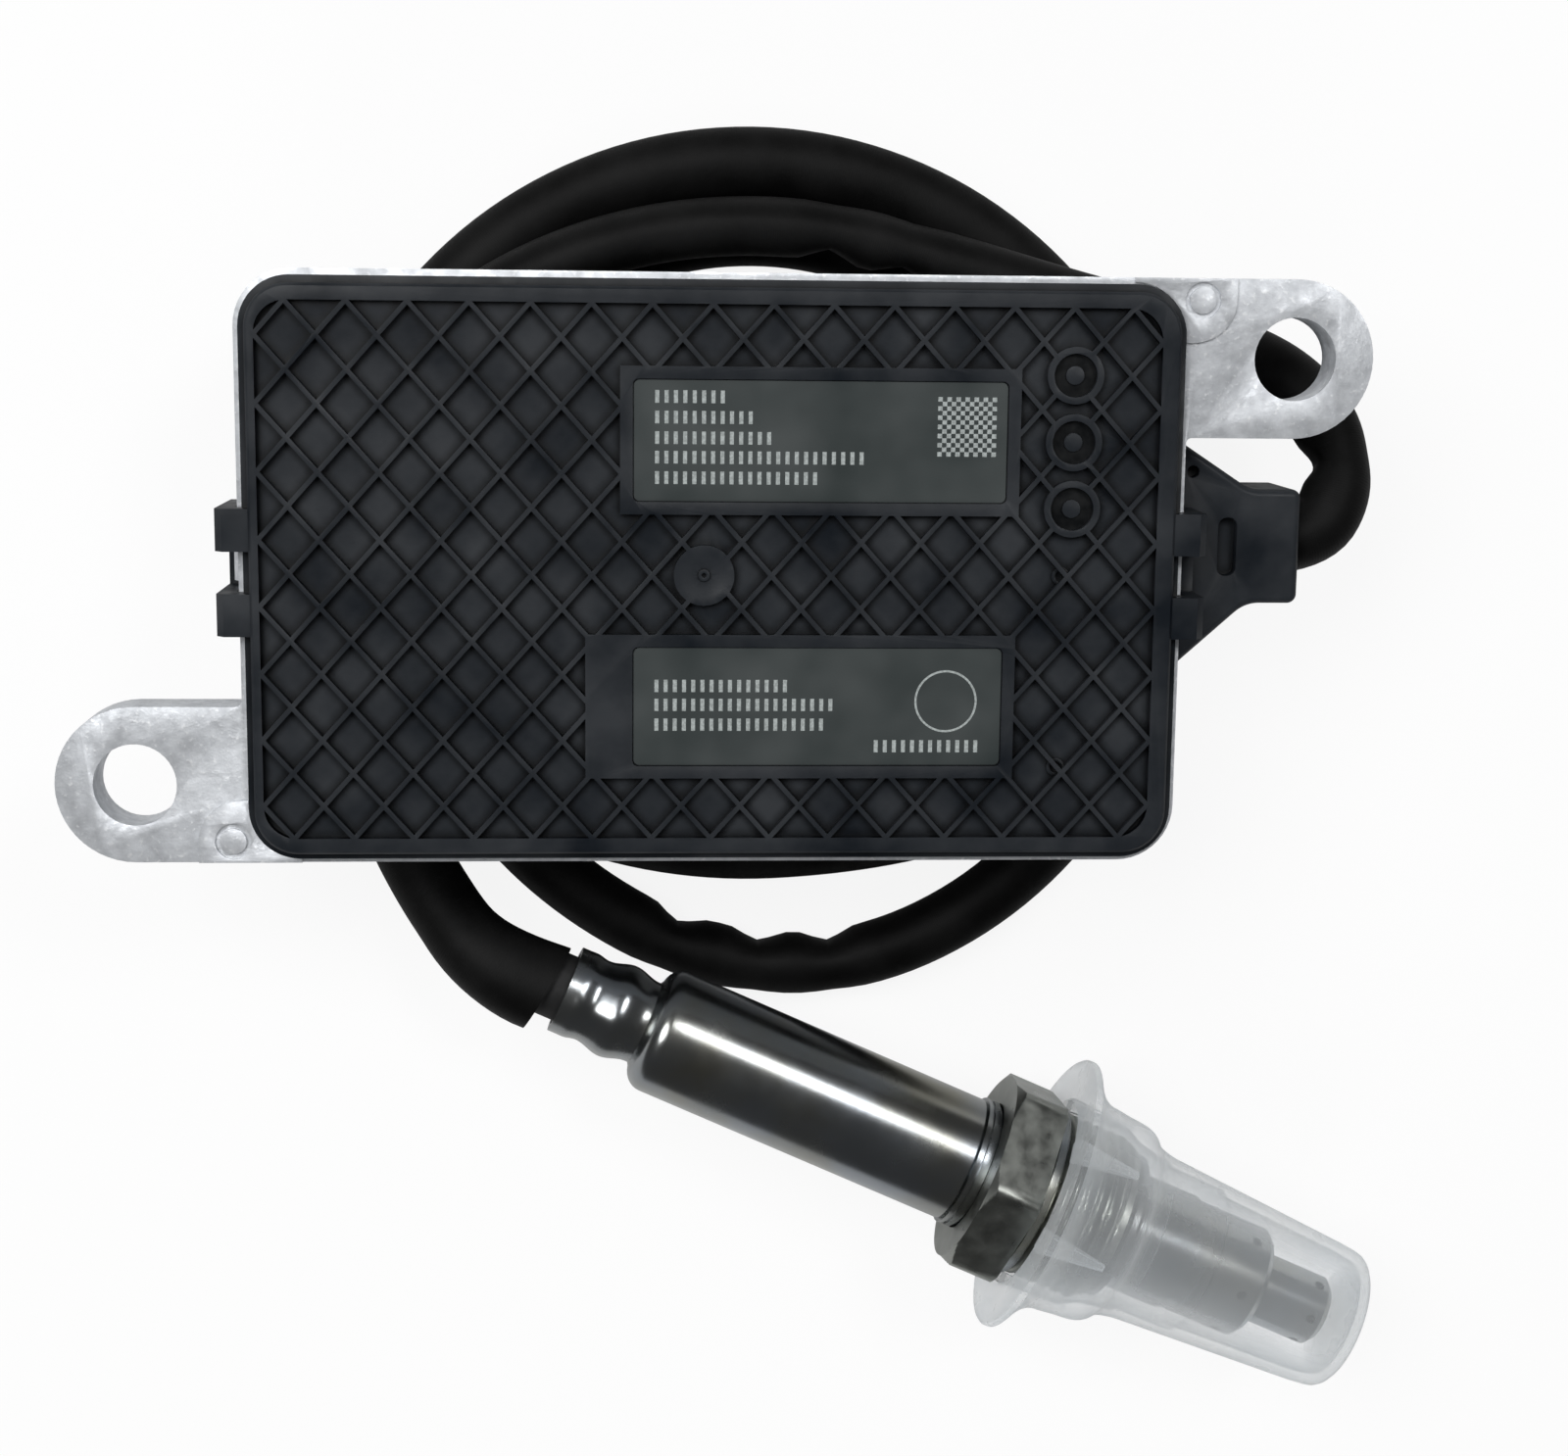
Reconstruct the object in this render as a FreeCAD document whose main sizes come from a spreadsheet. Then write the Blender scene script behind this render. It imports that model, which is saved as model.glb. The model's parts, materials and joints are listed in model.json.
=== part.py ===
import FreeCAD
import Part
import Sketcher
import math
import os

# Nitrogen oxide sensor: a die-cast control unit with a ribbed cover, a looped
# hose-sheathed cable and a lance probe under a translucent push-on cap.
#
# Frame, in millimetres: the origin lies midway between the two ear holes on the
# seat of the ears, +X along the case towards the cable outlet, +Y across it and
# +Z out of the cover. The probe has an axis of its own: its pieces are drawn along
# local +X from the rim of the sleeve's neck and share one placement.

Vector = FreeCAD.Vector

SIZES = {
    # control unit casting
    "case_length": 99.0,
    "case_width": 62.0,
    "case_corner": 6.0,
    "case_depth": 15.5,
    "case_wall": 2.4,
    "case_floor": 2.5,
    "ear_thickness": 5.5,
    "ear_width": 16.6,
    "ear_reach": 11.3,
    "ear_hole": 8.7,
    "ear_root_fillet": 0.6,
    "land_reach": 4.8,
    "land_width": 6.7,
    "land_height": 0.4,
    "land_corner": 4.5,
    "ejector_mark": 3.8,
    "ejector_core": 2.8,
    "ejector_across": 1.2,
    "ejector_down": 2.3,
    "ejector_depth": 0.3,
    "post_diameter": 6.0,
    "post_inset_across": 4.6,
    "post_inset_along": 5.2,
    "catch_length": 3.4,
    "catch_reach": 1.3,
    "catch_height": 2.0,
    "catch_drop": 1.2,
    # seal and cover
    "seal_height": 0.4,
    "seal_width": 1.4,
    "cover_inset": 0.7,
    "cover_height": 3.0,
    "cover_skin": 1.6,
    "cover_step": 0.8,
    "cover_flange": 1.2,
    "cover_edge": 0.3,
    "field_border": 2.5,
    "field_left": 1.8,
    "field_right": 2.8,
    "field_corner": 3.4,
    "cover_tongue": 2.2,
    "fit_gap": 0.2,
    "rib_columns": 15,
    "rib_rows": 8,
    "rib_width": 0.5,
    "pocket_depth": 0.9,
    "label_left": -10.0,
    "label_length": 41.4,
    "label_height": 15.2,
    "upper_label_middle": 13.9,
    "lower_label_middle": -13.8,
    "label_frame": 1.3,
    "label_recess": 0.3,
    "label_corner": 0.6,
    "side_pad_width": 3.6,
    "gate_diameter": 6.3,
    "gate_across": -1.3,
    "gate_dish": 0.5,
    "nub_diameter": 1.2,
    "nub_bore": 0.5,
    "nub_height": 0.3,
    "dial_diameter": 4.5,
    "dial_rim": 5.9,
    "dial_depth": 0.8,
    "dial_core": 1.9,
    "dial_core_height": 0.3,
    "dial_across": 37.0,
    "dial_step": 6.9,
    "dial_middle": 14.0,
    "ring_diameter": 1.9,
    "ring_bore": 1.2,
    "ring_height": 0.3,
    "ring_across": 36.1,
    "lower_ring_offset": -20.3,
    "snap_width": 4.4,
    "snap_gap": 4.4,
    "snap_thickness": 1.8,
    "snap_drop": 9.5,
    "snap_bar": 2.2,
    "snap_round": 0.8,
    # board and its parts
    "board_thickness": 1.6,
    "board_gap": 1.2,
    "board_corner": 3.0,
    "screw_head": 5.0,
    "screw_head_height": 2.0,
    "screw_head_round": 0.6,
    "screw_thread": 2.6,
    "screw_bite": 1.2,
    "chip_side": 14.0,
    "chip_height": 1.5,
    "driver_length": 11.0,
    "driver_width": 9.0,
    "driver_height": 2.3,
    "capacitor_diameter": 8.0,
    "capacitor_height": 8.5,
    # vehicle connector
    "socket_length": 25.0,
    "socket_width": 13.6,
    "socket_wall": 1.6,
    "socket_corner": 2.2,
    "socket_reach": 10.5,
    "header_flange": 2.0,
    "header_base": 2.6,
    "pin_count": 5,
    "pin_pitch": 4.0,
    "pin_width": 1.2,
    "pin_play": 0.6,
    # cable outlet
    "outlet_middle": 2.4,
    "outlet_reach": 14.2,
    "outlet_height": 11.2,
    "outlet_upper_base": 11.3,
    "outlet_lower_base": 13.2,
    "outlet_throat": 12.4,
    "outlet_foot": 0.6,
    "outlet_flare": 8.4,
    "outlet_bend": 4.0,
    "outlet_lip": 0.8,
    "outlet_neck_width": 14.0,
    "outlet_neck_height": 10.0,
    "outlet_corner": 1.0,
    "window_gap": 0.1,
    "slot_length": 6.3,
    "slot_width": 2.0,
    "slot_depth": 1.4,
    "slot_round": 0.9,
    "slot_inset": 6.0,
    "drain_diameter": 1.3,
    "drain_inset": 2.0,
    "drain_offset": 8.1,
    "wire_diameter": 1.3,
    "wire_count": 6,
    "wire_circle": 3.6,
    "terminal_length": 6.0,
    "terminal_width": 13.0,
    "terminal_height": 6.2,
    # cable
    "cable_diameter": 7.5,
    "cable_play": 0.15,
    "lead_straight": 2.6,
    "hose_seat": 5.6,
    "coil_gap": 0.2,
    "lower_coil_radius": 51.0,
    "lower_coil_inner": 36.0,
    "lower_coil_x": 4.8,
    "lower_coil_y": -3.8,
    "upper_coil_length": 49.0,
    "upper_coil_width": 38.6,
    "upper_coil_strand": 8.4,
    "upper_coil_x": 5.0,
    "upper_coil_y": 0.5,
    "coil_round": 2.6,
    # probe axis
    "neck_x": -16.3,
    "neck_y": -51.0,
    "probe_yaw": 23.8,
    "probe_pitch": 2.2,
    # protective sleeve
    "neck_diameter": 10.4,
    "neck_waist": 9.9,
    "bulge_diameter": 11.3,
    "bulge_middle": 7.2,
    "bulge_half": 1.6,
    "bulge_crown": 0.1,
    "neck_rim": 1.3,
    "crimp_groove": 9.9,
    "crimp_middle": 3.6,
    "sleeve_start": 10.0,
    "shoulder_length": 2.4,
    "shoulder_foot": 0.4,
    "shoulder_rise": 1.2,
    "shoulder_drop": 0.4,
    "sleeve_end": 50.9,
    "sleeve_diameter": 14.9,
    "sleeve_wall": 0.8,
    "grommet_length": 11.0,
    "grommet_stub": 2.4,
    # probe inside
    "holder_start": 15.0,
    "holder_length": 17.0,
    "spring_count": 8,
    "spring_thickness": 0.4,
    "spring_width": 1.2,
    "spring_pitch": 1.7,
    "spring_room": 3.2,
    "element_width": 4.0,
    "element_thickness": 1.8,
    "element_start": 20.0,
    "bush_length": 7.0,
    "talc_length": 6.0,
    "stack_start": 44.0,
    "stack_diameter": 9.4,
    # probe body, nut and tubes
    "body_tube_start": 40.0,
    "weld_ring_length": 1.4,
    "weld_groove": 0.3,
    "collar_inset": 1.2,
    "collar_chamfer": 0.5,
    "collar_seat": 0.9,
    "collar_start": 69.9,
    "collar_length": 2.1,
    "nose_diameter": 14.0,
    "nose_length": 7.0,
    "nut_start": 52.7,
    "nut_flats": 22.0,
    "nut_corners": 24.9,
    "nut_wall": 2.2,
    "nut_height": 6.2,
    "nut_turn": 24.0,
    "nut_washer": 20.6,
    "nut_washer_height": 1.4,
    "thread_diameter": 20.0,
    "thread_pitch": 1.5,
    "thread_length": 9.4,
    "running_gap": 0.25,
    "outer_tube": 13.4,
    "outer_tube_length": 10.0,
    "inner_tube": 8.4,
    "inner_tube_length": 19.0,
    "tube_wall": 0.6,
    "tube_chamfer": 0.8,
    "gas_hole": 1.2,
    "gas_hole_count": 6,
    "outer_hole_inset": 2.6,
    "inner_hole_inset": 2.0,
    # protective cap
    "flange_diameter": 34.0,
    "flange_edge": 0.9,
    "cap_start": 60.4,
    "cap_play": 1.5,
    "cap_flare": 4.4,
    "cap_shoulder_round": 1.4,
    "cap_shoulder_fall": 0.35,
    "cap_step_round": 0.8,
    "cap_shoulder": 70.8,
    "cap_step": 73.4,
    "cap_barrel": 20.2,
    "cap_end_diameter": 17.2,
    "cap_end": 101.2,
    "cap_wall": 1.2,
    "cap_round": 2.2,
    "cap_tip_bow": 0.7,
    "cap_rib_count": 6,
    "cap_rib_width": 1.4,
    "cap_rib_end": 2.0,
    "cap_grip": 0.1,
}

# Route of the cable, chosen by hand after the photograph: the lead bends back
# behind the right ear into the coil, the tail leaves the coil for the probe.
LEAD_ROUTE = [(69.9, 8.0, -6.8), (69.1, 15.2, -10.2), (64.8, 20.6, -14.2),
              (57.0, 24.0, -18.0), (48.3, 26.4, -19.45), (39.2, 28.9, -19.45)]
TAIL_ROUTE = [(-38.6, -21.6, -26.95), (-37.2, -31.6, -26.2), (-32.2, -40.2, -21.6)]

# A pocket of the lattice smaller than this share of a diamond is left out.
SMALLEST_POCKET = 0.04
# Tangent bend of the cable as a share of the shorter run beside it.
BEND_SHARE = 0.45
VOLUME_SLACK = 0.01
# Shares of the flare's length at which its curve is drawn.
FLARE_SHARES = (0.35, 0.65, 1.0)


class Size:
    """A length with the spreadsheet expression that gives it."""

    def __init__(self, value, text=None):
        self.value = float(value)
        self.text = text if text is not None else repr(float(value))

    def joined(self, other, sign, value):
        return Size(value, "(%s %s %s)" % (self.text, sign, as_size(other).text))

    def __float__(self):
        return self.value

    def __add__(self, other):
        return self.joined(other, "+", self.value + float(other))

    def __radd__(self, other):
        return as_size(other) + self

    def __sub__(self, other):
        return self.joined(other, "-", self.value - float(other))

    def __rsub__(self, other):
        return as_size(other) - self

    def __mul__(self, other):
        return self.joined(other, "*", self.value * float(other))

    def __rmul__(self, other):
        return as_size(other) * self

    def __truediv__(self, other):
        return self.joined(other, "/", self.value / float(other))

    def __neg__(self):
        return 0 - self


def as_size(value):
    return value if isinstance(value, Size) else Size(value)


def trig(name, function, degrees):
    degrees = as_size(degrees)
    return Size(function(math.radians(degrees.value)), "%s(%s)" % (name, degrees.text))


class Sizes:
    """Named sizes, each tied to its cell of the spreadsheet."""


doc = FreeCAD.newDocument("NitrogenOxideSensor")
sheet = doc.addObject("Spreadsheet::Sheet", "Sizes")
d = Sizes()
for row, (name, value) in enumerate(SIZES.items(), start=1):
    sheet.set("A%d" % row, name.replace("_", " "))
    sheet.set("B%d" % row, str(value))
    sheet.setAlias("B%d" % row, name)
    setattr(d, name, Size(value, "Sizes." + name))
doc.recompute()

# Places that several pieces share.
half_length = d.case_length / 2
half_width = d.case_width / 2
hole_x = half_length + d.ear_reach
hole_y = half_width - d.ear_width / 2
inner_x = half_length - d.case_wall
inner_y = half_width - d.case_wall
floor_top = d.case_floor - d.case_depth
seal_top = d.ear_thickness + d.seal_height
cover_top = seal_top + d.cover_height
outlet_level = -d.outlet_height / 2 - d.fit_gap
outlet_top = outlet_level + d.outlet_height / 2
wire_reach = d.wire_circle / 2 + d.wire_diameter / 2
board_top = outlet_level - wire_reach - d.fit_gap
board_bottom = board_top - d.board_thickness
post_height = board_bottom - floor_top
screw_length = post_height + d.screw_bite
post_x = inner_x - d.post_inset_along
post_y = inner_y - d.post_inset_across
coil_top = -d.case_depth - d.coil_gap
coil_split = coil_top - d.cable_diameter
ground = coil_split - d.cable_diameter
mouth_x = half_length + d.outlet_reach
hose_start = mouth_x - d.hose_seat
pitch_sine = trig("sin", math.sin, d.probe_pitch)
pitch_cosine = trig("cos", math.cos, d.probe_pitch)
yaw_sine = trig("sin", math.sin, d.probe_yaw)
yaw_cosine = trig("cos", math.cos, d.probe_yaw)
neck_z = ground + d.flange_diameter / 2 * pitch_cosine - d.cap_start * pitch_sine
sleeve_bore = d.sleeve_diameter - 2 * d.sleeve_wall
stack_end = d.stack_start + d.bush_length * 2 + d.talc_length
body_bore = d.thread_diameter - d.nut_wall * 2
nut_end = d.nut_start + d.nut_height
thread_start = nut_end + d.nut_washer_height
thread_end = thread_start + d.thread_length
nose_end = d.collar_start + d.collar_length + d.nose_length


def bind(thing, **values):
    """Ties properties to expressions; a double underscore stands for a dot."""
    for name, value in values.items():
        path = name.replace("__", ".")
        thing.setExpression(path, as_size(value).text)


def new_body(label):
    body = doc.addObject("PartDesign::Body", label)
    body.Label = label
    return body


def new_sketch(body, plane="XY_Plane", level=0):
    """An empty sketch on an origin plane of the body, lifted along its normal."""
    sketch = body.newObject("Sketcher::SketchObject", body.Label + "_sketch")
    support = [item for item in body.Origin.OriginFeatures if item.Role == plane][0]
    sketch.AttachmentSupport = [(support, "")]
    sketch.MapMode = "FlatFace"
    sketch.AttachmentOffset = FreeCAD.Placement(Vector(0, 0, float(level)), FreeCAD.Rotation())
    bind(sketch, AttachmentOffset__Base__z=level)
    return sketch


def fix_point(sketch, geometry, end, x, y):
    """Holds one end of a line, or a centre, at a place worked out from the sheet."""
    for axis, kind, value in ((-2, "DistanceX", x), (-1, "DistanceY", y)):
        value = as_size(value)
        if value.value == 0 and "Sizes" not in value.text:
            sketch.addConstraint(Sketcher.Constraint("PointOnObject", geometry, end, axis))
            continue
        index = sketch.addConstraint(
            Sketcher.Constraint(kind, -1, 1, geometry, end, value.value))
        sketch.setExpression("Constraints[%d]" % index, value.text)


def outline(sketch, points):
    """A closed outline of straight lines through the points."""
    first = sketch.GeometryCount
    count = len(points)
    for index in range(count):
        start, end = points[index], points[(index + 1) % count]
        sketch.addGeometry(Part.LineSegment(Vector(float(start[0]), float(start[1]), 0),
                                            Vector(float(end[0]), float(end[1]), 0)))
    for index in range(count):
        after = first + (index + 1) % count
        sketch.addConstraint(Sketcher.Constraint("Coincident", first + index, 2, after, 1))
    for index, (x, y) in enumerate(points):
        fix_point(sketch, first + index, 1, x, y)


def circle(sketch, x, y, diameter):
    radius = as_size(diameter) / 2
    index = sketch.addGeometry(Part.Circle(Vector(float(x), float(y), 0),
                                           Vector(0, 0, 1), float(radius)))
    fix_point(sketch, index, 3, x, y)
    held = sketch.addConstraint(Sketcher.Constraint("Radius", index, radius.value))
    sketch.setExpression("Constraints[%d]" % held, radius.text)


def rectangle(sketch, x, y, length, width):
    half_x, half_y = as_size(length) / 2, as_size(width) / 2
    outline(sketch, [(x - half_x, y - half_y), (x + half_x, y - half_y),
                     (x + half_x, y + half_y), (x - half_x, y + half_y)])


def rounded_rectangle(sketch, x, y, length, width, corner):
    """A rectangle whose corners are quarter arcs, tangent to its sides."""
    half_x, half_y = as_size(length) / 2, as_size(width) / 2
    inner_half_x, inner_half_y = half_x - corner, half_y - corner
    sides = [((x - inner_half_x, y - half_y), (x + inner_half_x, y - half_y)),
             ((x + half_x, y - inner_half_y), (x + half_x, y + inner_half_y)),
             ((x + inner_half_x, y + half_y), (x - inner_half_x, y + half_y)),
             ((x - half_x, y + inner_half_y), (x - half_x, y - inner_half_y))]
    centres = [(x + inner_half_x, y - inner_half_y), (x + inner_half_x, y + inner_half_y),
               (x - inner_half_x, y + inner_half_y), (x - inner_half_x, y - inner_half_y)]
    first = sketch.GeometryCount
    for start, end in sides:
        sketch.addGeometry(Part.LineSegment(Vector(float(start[0]), float(start[1]), 0),
                                            Vector(float(end[0]), float(end[1]), 0)))
    for index, centre in enumerate(centres):
        round_arc = Part.Circle(Vector(float(centre[0]), float(centre[1]), 0),
                                Vector(0, 0, 1), float(corner))
        turn = math.pi / 2 * (index - 1)
        arc = sketch.addGeometry(Part.ArcOfCircle(round_arc, turn, turn + math.pi / 2))
        after = first + (index + 1) % 4
        sketch.addConstraint(Sketcher.Constraint("Tangent", first + index, 2, arc, 1))
        sketch.addConstraint(Sketcher.Constraint("Coincident", arc, 2, after, 1))
    for index, (start, end) in enumerate(sides):
        fix_point(sketch, first + index, 1, start[0], start[1])
        fix_point(sketch, first + index, 2, end[0], end[1])


def checked(feature, grows=None, before=0.0):
    doc.recompute()
    shape = feature.Shape
    if grows is True and shape.Volume <= before:
        raise ValueError(feature.Name + " adds nothing")
    if grows is False and shape.Volume >= before:
        raise ValueError(feature.Name + " cuts nothing")
    return feature


def volume_of(body):
    return body.Shape.Volume if body.Tip and body.Tip.isDerivedFrom("PartDesign::Feature") else 0.0


def pad(body, sketch, length):
    before = volume_of(body)
    feature = body.newObject("PartDesign::Pad", body.Label + "_pad")
    feature.Profile = sketch
    feature.Length = float(length)
    bind(feature, Length=length)
    return checked(feature, True, before)


def pocket(body, sketch, length):
    """Cuts upwards from the sketch, the way its plane looks."""
    before = volume_of(body)
    feature = body.newObject("PartDesign::Pocket", body.Label + "_pocket")
    feature.Profile = sketch
    feature.Length = float(length)
    feature.Reversed = True
    bind(feature, Length=length)
    return checked(feature, False, before)


def revolve(body, sketch):
    feature = body.newObject("PartDesign::Revolution", body.Label + "_revolution")
    feature.Profile = sketch
    feature.ReferenceAxis = (sketch, ["H_Axis"])
    feature.Angle = 360
    return checked(feature)


def edges_where(shape, test):
    """Names of the edges whose middle point and direction pass the test."""
    names = []
    for index, edge in enumerate(shape.Edges, start=1):
        middle = edge.valueAt((edge.FirstParameter + edge.LastParameter) / 2)
        run = edge.valueAt(edge.LastParameter) - edge.valueAt(edge.FirstParameter)
        if test(middle, run):
            names.append("Edge%d" % index)
    return names


def round_edges(body, test, radius):
    base = body.Tip
    feature = body.newObject("PartDesign::Fillet", body.Label + "_rounding")
    feature.Base = (base, edges_where(base.Shape, test))
    feature.Radius = float(radius)
    bind(feature, Radius=radius)
    return checked(feature)


def upright(middle, run):
    return abs(run.x) < 1e-6 and abs(run.y) < 1e-6


def block(label, centre, length, width, bottom, height, corner=0):
    """A box on its centre, with rounded upright edges where a corner is given."""
    body = new_body(label)
    sketch = new_sketch(body, level=bottom)
    rectangle(sketch, centre[0], centre[1], length, width)
    pad(body, sketch, height)
    if corner:
        round_edges(body, upright, corner)
    return body


def feature_of(label, shape):
    item = doc.addObject("Part::Feature", label)
    item.Label = label
    item.Shape = shape
    return item


def turned(label, profile):
    """A piece of revolution about the probe axis, from a half section."""
    body = new_body(label)
    sketch = new_sketch(body)
    outline(sketch, profile)
    revolve(body, sketch)
    return on_probe(body)


def on_probe(body):
    """Puts a piece drawn along local +X on the axis of the probe."""
    rotation = FreeCAD.Rotation(-float(d.probe_yaw), -float(d.probe_pitch), 0)
    body.Placement = FreeCAD.Placement(
        Vector(float(d.neck_x), float(d.neck_y), float(neck_z)), rotation)
    bind(body, Placement__Base__x=d.neck_x, Placement__Base__y=d.neck_y,
         Placement__Base__z=neck_z)
    return body


def repeated(body, feature, count):
    """Repeats the last feature of a body about its local X axis."""
    pattern = body.newObject("PartDesign::PolarPattern", body.Label + "_pattern")
    pattern.Originals = [feature]
    axis = [item for item in body.Origin.OriginFeatures if item.Role == "X_Axis"][0]
    pattern.Axis = (axis, [""])
    pattern.Angle = 360
    pattern.Occurrences = int(float(count))
    bind(pattern, Occurrences=count)
    body.Tip = pattern
    return checked(pattern)


def ring_of_holes(body, along, depth, hole, count):
    """Radial holes through one wall of a tube, repeated about its axis."""
    sketch = new_sketch(body)
    circle(sketch, along, 0, hole)
    cut = pocket(body, sketch, depth)
    return repeated(body, cut, count)


def make_casting():
    """The die-cast case: open box with two cast ears, posts and cover catches."""
    body = new_body("housing_casting")
    outer = new_sketch(body, level=-d.case_depth)
    rectangle(outer, 0, 0, d.case_length, d.case_width)
    pad(body, outer, d.case_depth + d.ear_thickness)
    round_edges(body, upright, d.case_corner)
    for side in (1, -1):
        ear = new_sketch(body)
        root = half_length - d.case_corner
        rectangle(ear, (root + hole_x) / 2 * side, hole_y * side, hole_x - root, d.ear_width)
        pad(body, ear, d.ear_thickness)
        tip = new_sketch(body)
        circle(tip, hole_x * side, hole_y * side, d.ear_width)
        pad(body, tip, d.ear_thickness)
    inner_root = hole_y - d.ear_width / 2
    round_edges(body, lambda middle, run: upright(middle, run)
                and abs(abs(middle.x) - float(half_length)) < 1e-3
                and abs(abs(middle.y) - float(inner_root)) < 1e-3, d.ear_root_fillet)
    round_edges(body, lambda middle, run: abs(middle.z + float(d.case_depth)) < 1e-6,
                d.catch_reach)
    cavity = new_sketch(body, level=floor_top)
    rectangle(cavity, 0, 0, inner_x * 2, inner_y * 2)
    pocket(body, cavity, d.case_depth + d.ear_thickness)
    inner_corner = d.case_corner - d.case_wall
    round_edges(body, lambda middle, run: upright(middle, run)
                and abs(abs(middle.x) - float(inner_x)) < 1e-3
                and abs(abs(middle.y) - float(inner_y)) < 1e-3, inner_corner)
    posts = new_sketch(body, level=floor_top)
    for x in (post_x, -post_x):
        for y in (post_y, -post_y):
            circle(posts, x, y, d.post_diameter)
    pad(body, posts, post_height)
    holes = new_sketch(body, level=-d.ear_thickness)
    for side in (1, -1):
        circle(holes, hole_x * side, hole_y * side, d.ear_hole)
    pocket(body, holes, d.ear_thickness * 3)
    lands = new_sketch(body, level=d.ear_thickness)
    land_length = d.land_reach + d.case_corner
    for side in (1, -1):
        rectangle(lands, (half_length + d.land_reach - land_length / 2) * side,
                  (half_width - d.land_width / 2) * side, land_length, d.land_width)
    pad(body, lands, d.land_height)
    land_root = half_width - d.land_width
    land_tip = half_length + d.land_reach
    round_edges(body, lambda middle, run: upright(middle, run)
                and abs(abs(middle.x) - float(land_tip)) < 1e-3
                and abs(abs(middle.y) - float(land_root)) < 1e-3, d.land_corner)
    cover_bed = new_sketch(body, level=d.ear_thickness)
    bed_play = d.fit_gap - d.cover_inset
    rounded_rectangle(cover_bed, 0, 0, (half_length + bed_play) * 2,
                      (half_width + bed_play) * 2, d.case_corner + bed_play)
    pocket(body, cover_bed, d.land_height * 2)
    marks = new_sketch(body, level=d.ear_thickness + d.land_height - d.ejector_depth)
    for side in (1, -1):
        for diameter in (d.ejector_mark, d.ejector_core):
            circle(marks, (half_length + d.ejector_across) * side,
                   (half_width - d.ejector_down) * side, diameter)
    pocket(body, marks, d.ear_thickness)
    threads = new_sketch(body, level=board_bottom - screw_length)
    for x in (post_x, -post_x):
        for y in (post_y, -post_y):
            circle(threads, x, y, d.screw_thread)
    pocket(body, threads, screw_length * 2)
    window = new_sketch(body, plane="YZ_Plane", level=inner_x - d.case_wall)
    rectangle(window, d.outlet_middle, outlet_level, d.outlet_neck_width,
              d.outlet_neck_height)
    pocket(body, window, d.case_wall * 3)
    socket = new_sketch(body, level=-d.case_depth - d.case_floor)
    rectangle(socket, 0, 0, d.socket_length, d.socket_width)
    pocket(body, socket, d.case_floor * 3)
    catch = new_sketch(body, plane="XZ_Plane", level=-d.catch_length / 2)
    catch_top = d.ear_thickness - d.snap_drop + d.snap_bar + d.catch_height + d.catch_drop
    catch_foot = catch_top - d.catch_height
    outline(catch, [(d.case_wall / 2 - half_length, catch_foot),
                    (-half_length - d.catch_reach, catch_foot),
                    (-half_length, catch_top), (d.case_wall / 2 - half_length, catch_top)])
    pad(body, catch, d.catch_length)
    return body


def make_seal():
    """Soft frame between the rim of the casting and the cover."""
    body = new_body("cover_seal")
    outer = new_sketch(body, level=d.ear_thickness)
    inset = d.cover_inset + d.fit_gap
    rounded_rectangle(outer, 0, 0, (half_length - inset) * 2, (half_width - inset) * 2,
                      d.case_corner - inset)
    pad(body, outer, d.seal_height)
    inner = new_sketch(body, level=d.ear_thickness - d.seal_height)
    inset = inset + d.seal_width
    rounded_rectangle(inner, 0, 0, (half_length - inset) * 2, (half_width - inset) * 2,
                      d.case_corner - inset)
    pocket(body, inner, d.seal_height * 3)
    return body


def rounded_face(x, y, length, width, corner, level):
    """A flat rectangular face with rounded corners, on its centre."""
    left, right = x - length / 2, x + length / 2
    low, high = y - width / 2, y + width / 2
    lines = Part.makePolygon([Vector(left, low, level), Vector(right, low, level),
                              Vector(right, high, level), Vector(left, high, level),
                              Vector(left, low, level)])
    face = Part.Face(lines)
    if corner <= 0:
        return face
    solid = face.extrude(Vector(0, 0, 1))
    solid = solid.makeFillet(corner, [edge for edge in solid.Edges
                                      if abs(edge.tangentAt(edge.FirstParameter).z) > 0.9])
    return [item for item in solid.Faces if abs(item.CenterOfMass.z - level) < 1e-6][0]


def disc_face(x, y, diameter, level):
    return Part.Face(Part.Wire(Part.makeCircle(diameter / 2, Vector(x, y, level))))


def cover_pads():
    """Raised flat areas of the cover: x, y, length and width of each."""
    label_x = float(d.label_left + d.label_length / 2)
    pads = []
    for middle in (d.upper_label_middle, d.lower_label_middle):
        pads.append((label_x, float(middle), float(d.label_length), float(d.label_height)))
    side_x = float(d.label_left - d.side_pad_width / 2)
    pads.append((side_x, float(d.lower_label_middle), float(d.side_pad_width),
                 float(d.label_height)))
    return pads


def cover_dials():
    """Places of the three round recesses, each with its small raised collar."""
    return [(float(d.dial_across), float(d.dial_middle + d.dial_step * step))
            for step in (1, 0, -1)]


def cover_rings():
    """Places of the two small ejector rings."""
    return [(float(d.ring_across), 0.0), (float(d.ring_across), float(d.lower_ring_offset))]


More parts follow.
